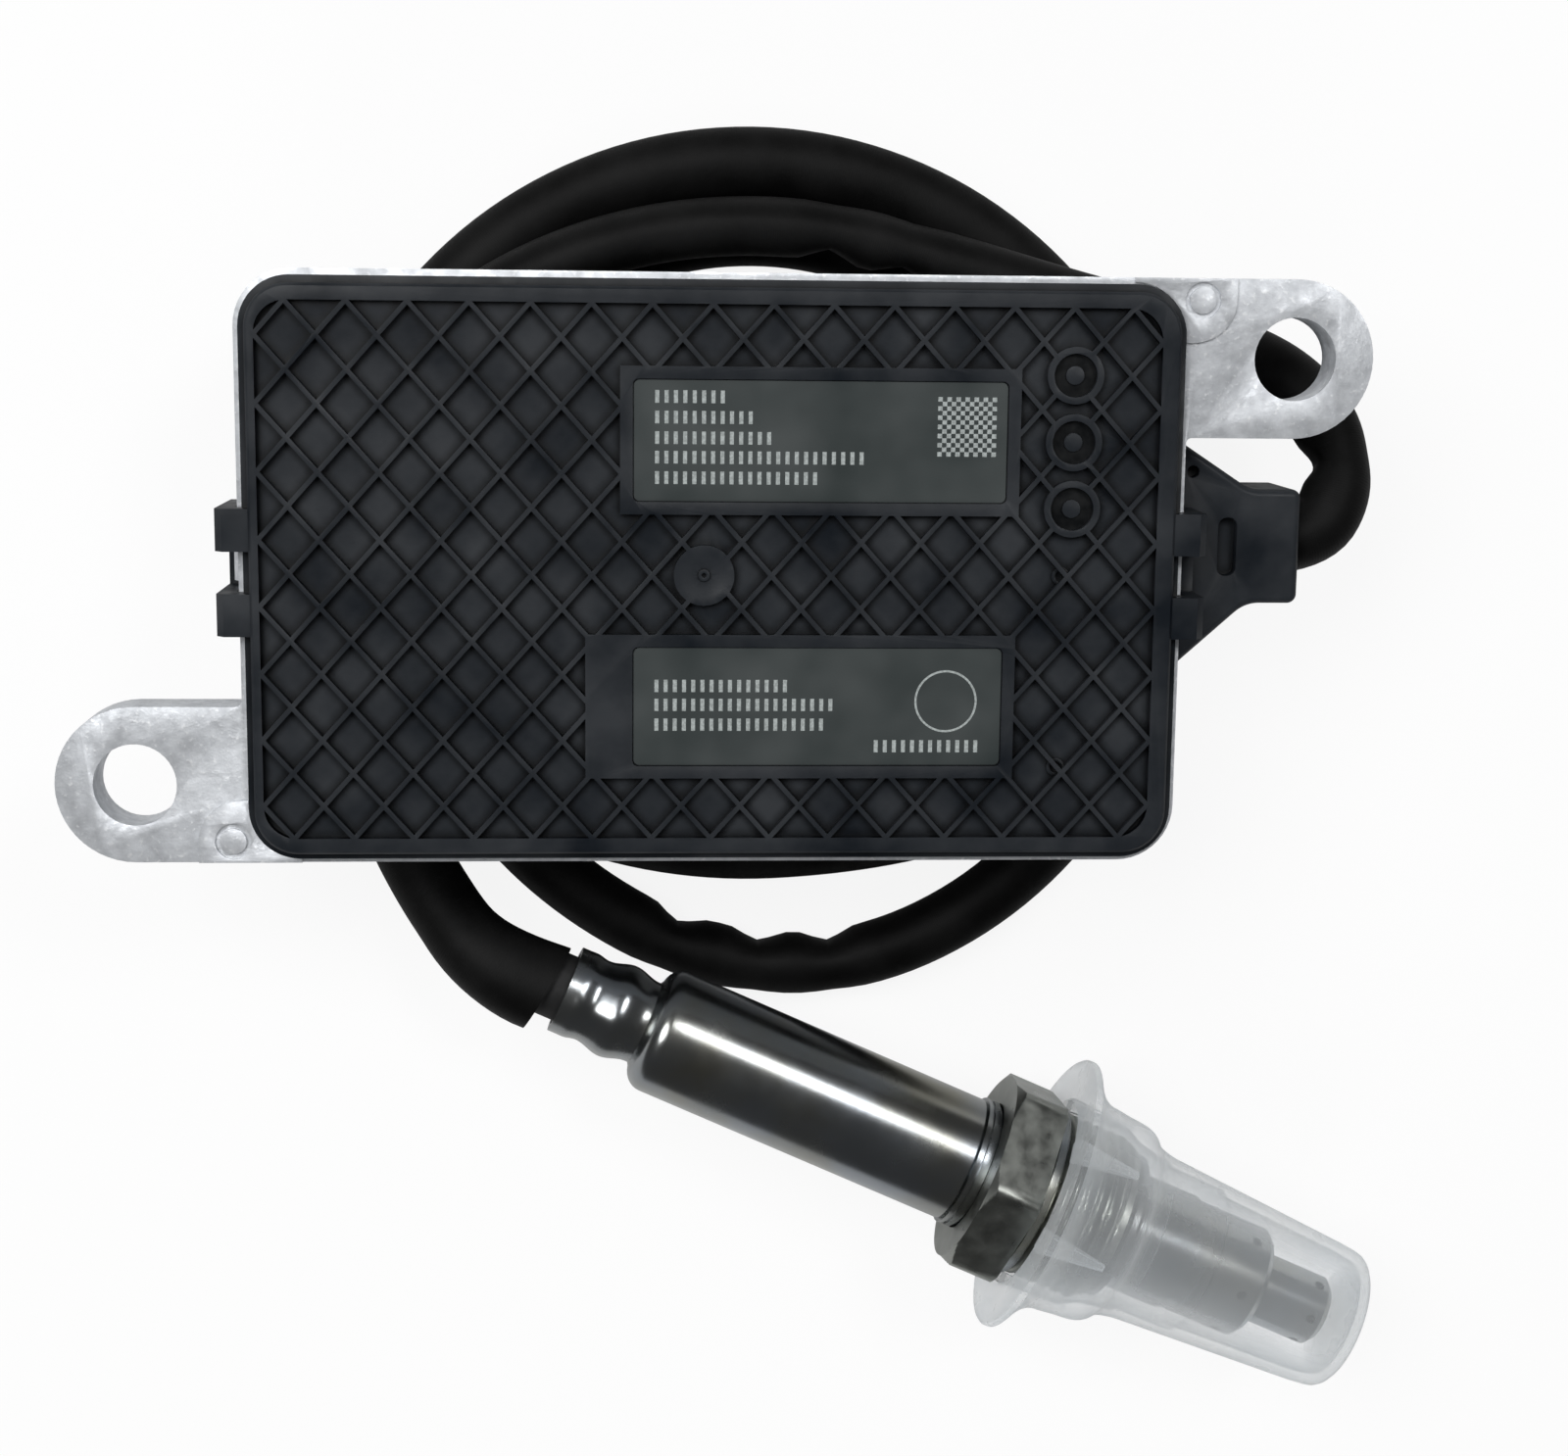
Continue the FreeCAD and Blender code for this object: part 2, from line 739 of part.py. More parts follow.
def lattice_pockets(level, height):
    """Diamond pockets between the crossed ribs, clear of every raised area."""
    edge = half_length - d.cover_inset
    left, right = float(d.field_left - edge), float(edge - d.field_right)
    field_length, middle = right - left, (right + left) / 2
    field_width = float(half_width - d.cover_inset - d.field_border) * 2
    columns, rows = int(float(d.rib_columns)), int(float(d.rib_rows))
    pitch_x, pitch_y = field_length / columns, field_width / rows
    reach = math.hypot(pitch_x, pitch_y)
    shrink = 1 - float(d.rib_width) * reach / (pitch_x * pitch_y)
    half_x, half_y = pitch_x / 2 * shrink, pitch_y / 2 * shrink
    field = rounded_face(middle, 0, field_length, field_width, float(d.field_corner), level)
    raised = [rounded_face(x, y, length, width, 0, level)
              for x, y, length, width in cover_pads()]
    raised += [disc_face(x, y, float(d.dial_rim), level) for x, y in cover_dials()]
    raised.append(disc_face(float(d.gate_across), 0, float(d.gate_diameter), level))
    faces = []
    for row in range(rows * 2 + 1):
        shift = row % 2
        for column in range(columns + 1):
            x = left + (column + shift / 2) * pitch_x
            y = row * pitch_y / 2 - field_width / 2
            corners = [Vector(x - half_x, y, level), Vector(x, y - half_y, level),
                       Vector(x + half_x, y, level), Vector(x, y + half_y, level)]
            diamond = Part.Face(Part.makePolygon(corners + corners[:1]))
            near = [area for area in raised if area.BoundBox.intersect(diamond.BoundBox)]
            for piece in diamond.common(field).Faces:
                left_over = piece.cut(near).Faces if near else [piece]
                faces += [face for face in left_over
                          if face.Area > pitch_x * pitch_y * SMALLEST_POCKET]
    return [face.extrude(Vector(0, 0, height)) for face in faces]


def snap_loop(side, bottom):
    """A U-shaped loop of the cover that reaches over the rim and down the side."""
    inner = float(half_length + d.fit_gap)
    outer = inner + float(d.snap_thickness)
    root = float(half_length - d.cover_inset - d.cover_step * 2)
    top = float(cover_top - d.label_recess)
    shelf, rounding = float(seal_top), float(d.snap_round)
    span = float(d.snap_gap / 2 + d.snap_width)
    profile = [(root, shelf), (inner, shelf), (inner, bottom), (outer, bottom),
               (outer, top - rounding), (outer - rounding, top), (root, top)]
    points = [Vector(x * side, -span, z) for x, z in profile]
    loop = Part.Face(Part.makePolygon(points + points[:1])).extrude(Vector(0, span * 2, 0))
    window = Part.makeBox(outer - root, float(d.snap_gap), top - bottom,
                          Vector(min(root * side, outer * side), -float(d.snap_gap) / 2,
                                 bottom + float(d.snap_bar)))
    return loop.cut(window)


def make_cover():
    """The ribbed plastic cover with its pads, dials, gate and snap loops."""
    base, top = float(seal_top), float(cover_top)
    length = float(half_length - d.cover_inset) * 2
    width = float(half_width - d.cover_inset) * 2
    corner = float(d.case_corner - d.cover_inset)
    flange = rounded_face(0, 0, length, width, corner, base)
    flange = flange.extrude(Vector(0, 0, float(d.cover_flange)))
    step = float(d.cover_step)
    shell = rounded_face(0, 0, length - step * 2, width - step * 2, corner - step, base)
    shell = shell.extrude(Vector(0, 0, top - base))
    rim = [edge for edge in shell.Edges if abs(edge.CenterOfMass.z - top) < 1e-6]
    shell = shell.makeChamfer(float(d.cover_edge), rim).fuse(flange)
    hollow_inset = float(d.seal_width + d.fit_gap) * 2
    hollow = rounded_face(0, 0, length - hollow_inset * 2, width - hollow_inset * 2,
                          corner - hollow_inset, base)
    skin = float(d.pocket_depth + d.cover_skin)
    shell = shell.cut(hollow.extrude(Vector(0, 0, top - base - skin)))
    tongue_length = float(inner_x - d.fit_gap) * 2
    tongue_width = float(inner_y - d.fit_gap) * 2
    tongue_corner = float(d.case_corner - d.case_wall - d.fit_gap)
    tongue_wall = float(d.cover_skin)
    tongue_foot = float(d.ear_thickness - d.cover_tongue)
    ring = rounded_face(0, 0, tongue_length, tongue_width, tongue_corner, tongue_foot)
    ring = ring.cut(rounded_face(0, 0, tongue_length - tongue_wall * 2,
                                 tongue_width - tongue_wall * 2,
                                 tongue_corner - tongue_wall, tongue_foot))
    tongue = ring.extrude(Vector(0, 0, top - skin - tongue_foot + float(d.fit_gap)))
    snap_foot = float(d.ear_thickness - d.snap_drop)
    outlet_clearance = float(outlet_top + d.fit_gap)
    shell = shell.fuse([tongue, snap_loop(-1, snap_foot), snap_loop(1, outlet_clearance)])
    depth = float(d.pocket_depth)
    cuts = lattice_pockets(top - depth, depth * 2)
    recess = float(d.label_recess)
    for x, y, pad_length, pad_width in cover_pads()[:2]:
        plate = rounded_face(x, y, pad_length - float(d.label_frame) * 2,
                             pad_width - float(d.label_frame) * 2,
                             float(d.label_corner), top - recess)
        cuts.append(plate.extrude(Vector(0, 0, recess * 2)))
    cores = []
    for x, y in cover_dials():
        dial_floor = top - float(d.dial_depth)
        cuts.append(disc_face(x, y, float(d.dial_diameter), dial_floor)
                    .extrude(Vector(0, 0, depth * 2)))
        core = disc_face(x, y, float(d.dial_core), dial_floor - float(d.fit_gap))
        cores.append(core.extrude(Vector(0, 0, float(d.dial_core_height + d.fit_gap))))
    gate_x, dish = float(d.gate_across), float(d.gate_dish)
    dish_radius = (float(d.gate_diameter) ** 2 / 4 + dish ** 2) / (dish * 2)
    cuts.append(Part.makeSphere(dish_radius, Vector(gate_x, 0, top - dish + dish_radius)))
    nub = disc_face(gate_x, 0, float(d.nub_diameter), top - dish - float(d.fit_gap))
    nub = nub.cut(disc_face(gate_x, 0, float(d.nub_bore), top - dish - float(d.fit_gap)))
    cores.append(nub.extrude(Vector(0, 0, float(d.nub_height + d.fit_gap))))
    for x, y in cover_rings():
        ring = disc_face(x, y, float(d.ring_diameter), top - depth - float(d.fit_gap))
        ring = ring.cut(disc_face(x, y, float(d.ring_bore), top - depth - float(d.fit_gap)))
        cores.append(ring.extrude(Vector(0, 0, float(d.ring_height + d.fit_gap))))
    return feature_of("cover", shell.cut(cuts).fuse(cores).removeSplitter())


def make_board():
    """The circuit board on its four posts."""
    play = d.board_gap * 2
    body = block("circuit_board", (0, 0), inner_x * 2 - play, inner_y * 2 - play,
                 board_bottom, d.board_thickness, d.board_corner)
    holes = new_sketch(body, level=board_bottom - d.board_thickness)
    for x in (post_x, -post_x):
        for y in (post_y, -post_y):
            circle(holes, x, y, d.screw_thread + d.fit_gap * 2)
    for index in range(int(float(d.pin_count))):
        circle(holes, pin_place(index), 0, d.pin_width + d.pin_play)
    pocket(body, holes, d.board_thickness * 3)
    return body


def pin_place(index):
    return (index - (d.pin_count - 1) / 2) * d.pin_pitch


def make_screws():
    """Four pan-head screws that hold the board down, as one node."""
    screws = []
    for x in (post_x, -post_x):
        for y in (post_y, -post_y):
            head = Part.makeCylinder(float(d.screw_head) / 2, float(d.screw_head_height),
                                     Vector(float(x), float(y), float(board_top)))
            rim = [edge for edge in head.Edges
                   if edge.CenterOfMass.z > float(board_top) + float(d.screw_head_height) / 2
                   and len(edge.Vertexes) == 1]
            head = head.makeFillet(float(d.screw_head_round), rim)
            stem = Part.makeCylinder(float(d.screw_thread) / 2,
                                     float(screw_length + d.board_thickness),
                                     Vector(float(x), float(y),
                                            float(board_bottom - screw_length)))
            screws.append(head.fuse(stem).removeSplitter())
    return feature_of("board_screws", Part.makeCompound(screws))


def make_chips():
    """What sits on the board: controller, driver chips and two tall capacitors."""
    half_board = inner_y / 2
    block("controller_chip", (0, half_board), d.chip_side, d.chip_side, board_top, d.chip_height)
    block("heater_driver", (-inner_x / 2, half_board), d.driver_length, d.driver_width,
          board_top, d.driver_height)
    block("supply_regulator", (-inner_x / 2, -half_board), d.driver_length, d.driver_width,
          board_top, d.driver_height)
    for label, x in (("input_capacitor", inner_x / 2), ("heater_capacitor", inner_x / 4)):
        body = new_body(label)
        sketch = new_sketch(body, level=board_top)
        circle(sketch, x, -half_board, d.capacitor_diameter)
        pad(body, sketch, d.capacitor_height)
    block("thermal_pad", (-inner_x / 2, half_board), d.driver_length, d.driver_width,
          floor_top, post_height)


def make_connector():
    """Vehicle connector: a shroud through the floor of the case, and its pins."""
    body = new_body("connector_header")
    socket_floor = -d.case_depth - d.socket_reach
    shroud_length = d.socket_length - d.window_gap * 2
    shroud_width = d.socket_width - d.window_gap * 2
    shroud = new_sketch(body, level=socket_floor)
    rectangle(shroud, 0, 0, shroud_length, shroud_width)
    pad(body, shroud, d.socket_reach + d.case_floor)
    round_edges(body, lambda middle, run: upright(middle, run), d.socket_corner)
    flange = new_sketch(body, level=floor_top)
    rectangle(flange, 0, 0, d.socket_length + d.header_flange * 2,
              d.socket_width + d.header_flange * 2)
    pad(body, flange, post_height)
    cavity = new_sketch(body, level=socket_floor - d.socket_wall)
    rectangle(cavity, 0, 0, shroud_length - d.socket_wall * 2, shroud_width - d.socket_wall * 2)
    pocket(body, cavity, d.socket_reach + d.case_floor - d.header_base + d.socket_wall)
    pins = new_sketch(body, level=socket_floor)
    for index in range(int(float(d.pin_count))):
        circle(pins, pin_place(index), 0, d.pin_width)
    pocket(body, pins, d.socket_reach + d.case_floor + post_height * 2)
    key = new_sketch(body, level=socket_floor)
    rectangle(key, shroud_length / 4, -shroud_width / 2, d.socket_wall * 2, d.socket_wall)
    pad(body, key, d.socket_reach)
    pin_floor = socket_floor + d.socket_wall
    pin_length = board_top + d.pin_width - pin_floor
    contacts = [Part.makeCylinder(float(d.pin_width) / 2, float(pin_length),
                                  Vector(float(pin_place(index)), 0, float(pin_floor)))
                for index in range(int(float(d.pin_count)))]
    feature_of("connector_pins", Part.makeCompound(contacts))


def make_outlet():
    """The wedge-shaped cable outlet, necked through the wall of the case."""
    body = new_body("cable_outlet")
    bottom, middle = outlet_top - d.outlet_height, d.outlet_middle
    foot = half_length + d.fit_gap
    bend = foot + d.outlet_flare
    throat = d.outlet_throat / 2
    sketch = new_sketch(body, level=bottom)
    outline(sketch, [(foot, middle - d.outlet_lower_base),
                     (foot + d.outlet_foot, middle - d.outlet_lower_base),
                     (bend, middle - throat), (mouth_x, middle - throat),
                     (mouth_x, middle + throat), (bend, middle + throat),
                     (foot + d.outlet_foot, middle + d.outlet_upper_base),
                     (foot, middle + d.outlet_upper_base)])
    pad(body, sketch, d.outlet_height)
    round_edges(body, lambda point, run: upright(point, run)
                and abs(point.x - float(bend)) < 1e-3, d.outlet_bend)
    round_edges(body, lambda point, run: upright(point, run)
                and point.x > float(mouth_x) - 1e-3, d.outlet_corner)
    round_edges(body, lambda point, run: abs(point.z - float(outlet_top)) < 1e-6
                and point.x > float(foot + d.outlet_foot), d.outlet_lip)
    neck = new_sketch(body, plane="YZ_Plane", level=inner_x)
    rectangle(neck, middle, outlet_level, d.outlet_neck_width - d.window_gap * 2,
              d.outlet_neck_height - d.window_gap * 2)
    pad(body, neck, d.case_wall + d.fit_gap * 2)
    bore = new_sketch(body, plane="YZ_Plane", level=hose_start)
    circle(bore, middle, outlet_level, d.cable_diameter + d.cable_play * 2)
    pocket(body, bore, d.hose_seat * 2)
    wires = new_sketch(body, plane="YZ_Plane", level=inner_x - d.case_wall)
    circle(wires, middle, outlet_level, (wire_reach + d.fit_gap) * 2)
    pocket(body, wires, hose_start - inner_x + d.case_wall + d.cable_play)
    slot = new_sketch(body, level=outlet_top - d.slot_depth)
    slot_x = foot + d.slot_inset
    rounded_rectangle(slot, slot_x, middle, d.slot_width, d.slot_length, d.slot_round)
    pocket(body, slot, d.slot_depth * 2)
    drain = new_sketch(body, level=outlet_top - d.slot_depth)
    circle(drain, foot + d.drain_inset, middle + d.drain_offset, d.drain_diameter)
    pocket(body, drain, d.slot_depth * 2)
    return body


def make_wires():
    """Leads from the hose to their terminal block, as one node, and the block."""
    terminal_x = inner_x - d.board_gap - d.terminal_length / 2
    block("wire_terminal", (terminal_x, d.outlet_middle), d.terminal_length,
          d.terminal_width, board_top, d.terminal_height)
    start = float(terminal_x + d.terminal_length / 2)
    count = int(float(d.wire_count))
    wires = []
    for index in range(count):
        turn = 2 * math.pi * index / count
        place = Vector(start, float(d.outlet_middle) + float(d.wire_circle) / 2 * math.cos(turn),
                       float(outlet_level) + float(d.wire_circle) / 2 * math.sin(turn))
        wires.append(Part.makeCylinder(float(d.wire_diameter) / 2, float(hose_start) - start,
                                       place, Vector(1, 0, 0)))
    feature_of("lead_wires", Part.makeCompound(wires))


def tube(label, points):
    """A round tube along straight runs joined by tangent arcs."""
    radius = float(d.cable_diameter) / 2
    corners = [Vector(*point) for point in points]
    edges = []
    here = corners[0]
    for before, corner, after in zip(corners, corners[1:], corners[2:]):
        run_in, run_out = corner - before, after - corner
        half_turn = run_in.getAngle(run_out) / 2
        shorter = min(run_in.Length, run_out.Length)
        bend = BEND_SHARE * shorter / math.tan(half_turn)
        reach = bend * math.tan(half_turn)
        enter = corner - run_in.normalize() * reach
        leave = corner + run_out.normalize() * reach
        inward = (run_out - run_in).normalize()
        middle = corner + inward * (bend / math.cos(half_turn) - bend)
        edges.append(Part.LineSegment(here, enter).toShape())
        edges.append(Part.Arc(enter, middle, leave).toShape())
        here = leave
    edges.append(Part.LineSegment(here, corners[-1]).toShape())
    path = Part.Wire(edges)
    heading = corners[1] - corners[0]
    ring = Part.Wire(Part.makeCircle(radius, corners[0], heading))
    solid = path.makePipeShell([ring], True, False)
    expected = math.pi * radius ** 2 * path.Length
    if abs(solid.Volume - expected) > expected * VOLUME_SLACK:
        raise ValueError(label + " tube has the wrong volume")
    return feature_of(label, solid)


def probe_point(along):
    """Row coordinates of a point on the probe axis."""
    run = as_size(along) * pitch_cosine
    return (float(d.neck_x + run * yaw_cosine), float(d.neck_y - run * yaw_sine),
            float(neck_z + as_size(along) * pitch_sine))


def make_cable():
    """Lead out of the control unit, the coil under it and the tail to the probe."""
    middle, level = float(d.outlet_middle), float(outlet_level)
    start = (float(hose_start), middle, level)
    leave = (float(mouth_x + d.lead_straight), middle, level)
    tube("cable_lead", [start, leave] + LEAD_ROUTE)
    tail_end = -d.grommet_stub
    arrive = probe_point(tail_end - d.cable_diameter)
    tube("cable_tail", TAIL_ROUTE + [arrive, probe_point(tail_end)])
    height = float(d.cable_diameter)
    centre = Vector(float(d.lower_coil_x), float(d.lower_coil_y), float(ground))
    lower = Part.makeCylinder(float(d.lower_coil_radius), height, centre)
    lower = lower.cut(Part.makeCylinder(float(d.lower_coil_inner), height, centre))
    middle = Vector(float(d.upper_coil_x), float(d.upper_coil_y), float(coil_split))
    long_half, short_half = float(d.upper_coil_length), float(d.upper_coil_width)
    strand = float(d.upper_coil_strand)
    outer = Part.Face(Part.Wire(Part.Ellipse(middle, long_half, short_half).toShape()))
    inner = Part.Face(Part.Wire(Part.Ellipse(middle, long_half - strand,
                                             short_half - strand).toShape()))
    upper = outer.cut(inner).extrude(Vector(0, 0, height))
    rims = [edge for edge in lower.Edges if abs(edge.CenterOfMass.z - float(ground)) < 1e-6]
    lower = lower.makeFillet(float(d.coil_round), rims)
    rims = [edge for edge in upper.Edges if abs(edge.CenterOfMass.z - float(coil_top)) < 1e-6]
    upper = upper.makeFillet(float(d.coil_round), rims)
    feature_of("cable_coil", lower.fuse(upper).removeSplitter())


def make_sleeve():
    """The long steel sleeve, crimped down to the neck, and the rubber plug in it."""
    wall = d.sleeve_wall
    neck, waist = d.neck_diameter / 2, d.neck_waist / 2
    bulge, groove = d.bulge_diameter / 2, d.crimp_groove / 2
    outer = d.sleeve_diameter / 2
    plug = waist - wall
    shoulder_end = d.sleeve_start + d.shoulder_length
    step = outer - groove
    profile = [(0, plug), (0, neck), (d.neck_rim, neck), (d.crimp_middle, waist),
               (d.bulge_middle - d.bulge_half, bulge - d.bulge_crown), (d.bulge_middle, bulge),
               (d.bulge_middle + d.bulge_half, bulge - d.bulge_crown),
               (d.sleeve_start - d.bulge_crown, groove), (d.sleeve_start, groove),
               (d.sleeve_start + d.shoulder_foot, groove + step / 2),
               (d.sleeve_start + d.shoulder_rise, outer - d.shoulder_drop), (shoulder_end, outer),
               (d.sleeve_end, outer), (d.sleeve_end, outer - wall),
               (shoulder_end, outer - wall), (d.sleeve_start + wall, plug)]
    turned("protective_sleeve", profile)
    stub = plug - d.fit_gap
    turned("wire_grommet", [(-d.grommet_stub, 0), (-d.grommet_stub, stub), (0, stub),
                            (0, plug), (d.grommet_length, plug), (d.grommet_length, 0)])


def make_probe_inside():
    """Contact holder, springs, ceramic stack and the sensing element."""
    bore = sleeve_bore / 2 - d.fit_gap
    start, end = d.holder_start, d.holder_start + d.holder_length
    holder = turned("contact_holder", [(start, 0), (start, bore), (end, bore), (end, 0)])
    slot = new_sketch(holder, plane="YZ_Plane", level=start - d.spring_width)
    spring_reach = d.element_thickness / 2 + d.spring_thickness + d.fit_gap
    rectangle(slot, 0, 0, d.element_width + d.spring_room, spring_reach * 2)
    pocket(holder, slot, d.holder_length + d.spring_width * 2)
    pieces = (("rear_bush", d.stack_start, d.bush_length),
              ("talc_seal", d.stack_start + d.bush_length, d.talc_length),
              ("front_bush", d.stack_start + d.bush_length + d.talc_length, d.bush_length))
    for label, begin, length in pieces:
        piece = turned(label, [(begin, 0), (begin, d.stack_diameter / 2),
                               (begin + length, d.stack_diameter / 2), (begin + length, 0)])
        hole = new_sketch(piece, plane="YZ_Plane", level=begin - length)
        rectangle(hole, 0, 0, d.element_width + d.window_gap * 2,
                  d.element_thickness + d.window_gap * 2)
        pocket(piece, hole, length * 3)
    tip = nose_end + d.inner_tube_length - d.tube_wall * 3
    element = new_body("sensing_element")
    blade = new_sketch(element, plane="YZ_Plane", level=d.element_start)
    rectangle(blade, 0, 0, d.element_width, d.element_thickness)
    pad(element, blade, tip - d.element_start)
    on_probe(element)
    pair = int(float(d.spring_count)) // 2
    springs = []
    for index in range(pair):
        across = (index - (pair - 1) / 2) * float(d.spring_pitch)
        for side in (1, -1):
            base = float(d.element_thickness) / 2 if side > 0 else (
                -float(d.element_thickness) / 2 - float(d.spring_thickness))
            springs.append(Part.makeBox(
                float(d.holder_length), float(d.spring_width), float(d.spring_thickness),
                Vector(float(start), across - float(d.spring_width) / 2, base)))
    on_probe(feature_of("contact_springs", Part.makeCompound(springs)))


def make_probe_body():
    """The turned steel body that the nut turns on, with its seat collar."""
    tube_radius, ring = sleeve_bore / 2 - d.window_gap, body_bore / 2
    collar = d.thread_diameter / 2 - d.collar_inset
    nose = d.nose_diameter / 2
    shaft = ring - d.running_gap
    stack = d.stack_diameter / 2 + d.window_gap
    ring_start, ring_end = d.sleeve_end, d.sleeve_end + d.weld_ring_length
    groove_start = ring_start + d.weld_ring_length / 3
    groove_end = groove_start + d.weld_groove
    groove = ring - d.weld_groove
    collar_end = d.collar_start + d.collar_length
    passage = d.element_width / 2 + d.fit_gap * 3
    profile = [(d.body_tube_start, stack), (d.body_tube_start, tube_radius),
               (ring_start, tube_radius), (ring_start, ring), (groove_start, ring),
               (groove_start, groove), (groove_end, groove), (groove_end, ring),
               (ring_end, ring), (ring_end, shaft), (d.collar_start, shaft),
               (d.collar_start, collar - d.collar_chamfer),
               (d.collar_start + d.collar_chamfer, collar),
               (collar_end - d.collar_seat, collar), (collar_end, nose), (nose_end, nose),
               (nose_end, passage), (stack_end, passage), (stack_end, stack)]
    turned("probe_body", profile)


def make_nut():
    """The captive fixing nut: hexagon, washer face and screw length in one."""
    body = new_body("fixing_nut")
    bore, rim, crest = body_bore / 2, d.nut_corners / 2, d.thread_diameter / 2
    chamfer = d.thread_pitch / 2
    sketch = new_sketch(body)
    outline(sketch, [(d.nut_start, bore), (d.nut_start, rim - chamfer),
                     (d.nut_start + chamfer / 2, rim), (nut_end, rim),
                     (nut_end, d.nut_washer / 2), (thread_start, d.nut_washer / 2),
                     (thread_start, crest - chamfer / 2), (thread_start + chamfer, crest),
                     (thread_end - chamfer, crest), (thread_end, crest - chamfer),
                     (thread_end, bore)])
    revolve(body, sketch)
    flats = new_sketch(body, plane="YZ_Plane", level=d.nut_start - d.nut_height)
    circle(flats, 0, 0, d.nut_flats * 2)
    reach = d.nut_flats / 2 / math.cos(math.radians(30))
    angles = [d.nut_turn + 60 * index for index in range(6)]
    outline(flats, [(reach * trig("cos", math.cos, angle), reach * trig("sin", math.sin, angle))
                    for angle in angles])
    pocket(body, flats, d.nut_height * 2)
    return on_probe(body)


def make_tubes():
    """The two perforated steel tubes over the tip of the sensing element."""
    wall = d.tube_wall
    outer, inner = d.outer_tube / 2, d.inner_tube / 2
    chamfer, seat_play = d.tube_chamfer, d.window_gap / 10
    outer_end = nose_end + d.outer_tube_length
    inner_end = nose_end + d.inner_tube_length
    body = turned("outer_tube", [(nose_end, outer - wall), (nose_end, outer),
                                 (outer_end - chamfer, outer), (outer_end, outer - chamfer),
                                 (outer_end, inner + seat_play),
                                 (outer_end - wall, inner + seat_play),
                                 (outer_end - wall, outer - wall)])
    ring_of_holes(body, outer_end - d.outer_hole_inset, outer, d.gas_hole, d.gas_hole_count)
    body = turned("inner_tube", [(nose_end, inner - wall), (nose_end, inner),
                                 (inner_end - chamfer, inner), (inner_end, inner - chamfer),
                                 (inner_end, 0), (inner_end - wall, 0),
                                 (inner_end - wall, inner - wall)])
    ring_of_holes(body, inner_end - d.inner_hole_inset, inner, d.gas_hole, d.gas_hole_count)


def make_cap():
    """The soft push-on cap: flared flange, two steps and ribs that grip the thread."""
    wall, start = d.cap_wall, d.cap_start
    mouth = d.thread_diameter / 2 + d.cap_play + wall
    flange = d.flange_diameter / 2
    barrel, tip = d.cap_barrel / 2, d.cap_end_diameter / 2
    flare = [(start + d.cap_flare * share, mouth + (flange - mouth) * (1 - share) ** 2)
             for share in FLARE_SHARES]
    turn, step, end = d.cap_shoulder_round, d.cap_step_round, d.cap_round
    bow, fall = d.cap_tip_bow, d.cap_shoulder_fall
    outside = [(start, flange), (start + d.flange_edge, flange)] + flare + [
        (d.cap_shoulder - turn, mouth - fall), (d.cap_shoulder, mouth - turn),
        (d.cap_step - step, barrel + step / 2), (d.cap_step, barrel),
        (d.cap_end - end, tip), (d.cap_end - bow, tip - bow), (d.cap_end, tip - end)]
    inside = [(d.cap_end, 0), (d.cap_end - wall, 0), (d.cap_end - wall, tip - end),
              (d.cap_end - end, tip - wall), (d.cap_step, barrel - wall),
              (d.cap_shoulder - wall, mouth - turn - wall),
              (d.cap_shoulder - turn - wall, mouth - fall - wall), (start, mouth - wall)]
    body = turned("protective_cap", outside + inside)
    grip = d.thread_diameter / 2 + d.cap_grip
    rib_end = d.cap_shoulder - d.cap_rib_end
    sketch = new_sketch(body, level=-d.cap_rib_width / 2)
    outline(sketch, [(start, grip), (start, mouth - wall / 2),
                     (rib_end, mouth - fall - wall / 2), (rib_end, grip)])
    repeated(body, pad(body, sketch, d.cap_rib_width), d.cap_rib_count)
    return body


def sub_parts():
    """The objects that are handed out as nodes."""
    nodes = []
    for item in doc.Objects:
        if item.isDerivedFrom("PartDesign::Body") or item.TypeId == "Part::Feature":
            nodes.append(item)
    return nodes


def check_and_write():
    for item in doc.Objects:
        if "Invalid" in item.State or "Error" in item.State:
            raise ValueError("%s failed: %s" % (item.Label, item.State))
    for node in sub_parts():
        if node.Shape.isNull() or not node.Shape.isValid():
            raise ValueError(node.Label + " has no valid shape")
    os.makedirs("parts", exist_ok=True)
    for node in sub_parts():
        node.Shape.exportStep("parts/%s.step" % node.Label)
        print(node.Label, len(node.Shape.Solids), round(node.Shape.Volume, 1))


make_casting()
make_seal()
make_cover()
make_board()
make_screws()
make_chips()
make_connector()
make_outlet()
make_wires()
make_cable()
make_sleeve()
make_probe_inside()
make_probe_body()
make_nut()
make_tubes()
make_cap()
doc.recompute()
check_and_write()
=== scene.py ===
"""Looks of a nitrogen oxide sensor: control unit, looped hose cable and capped lance probe."""
import bmesh
import bpy
import json
import math
from mathutils import Matrix, Vector


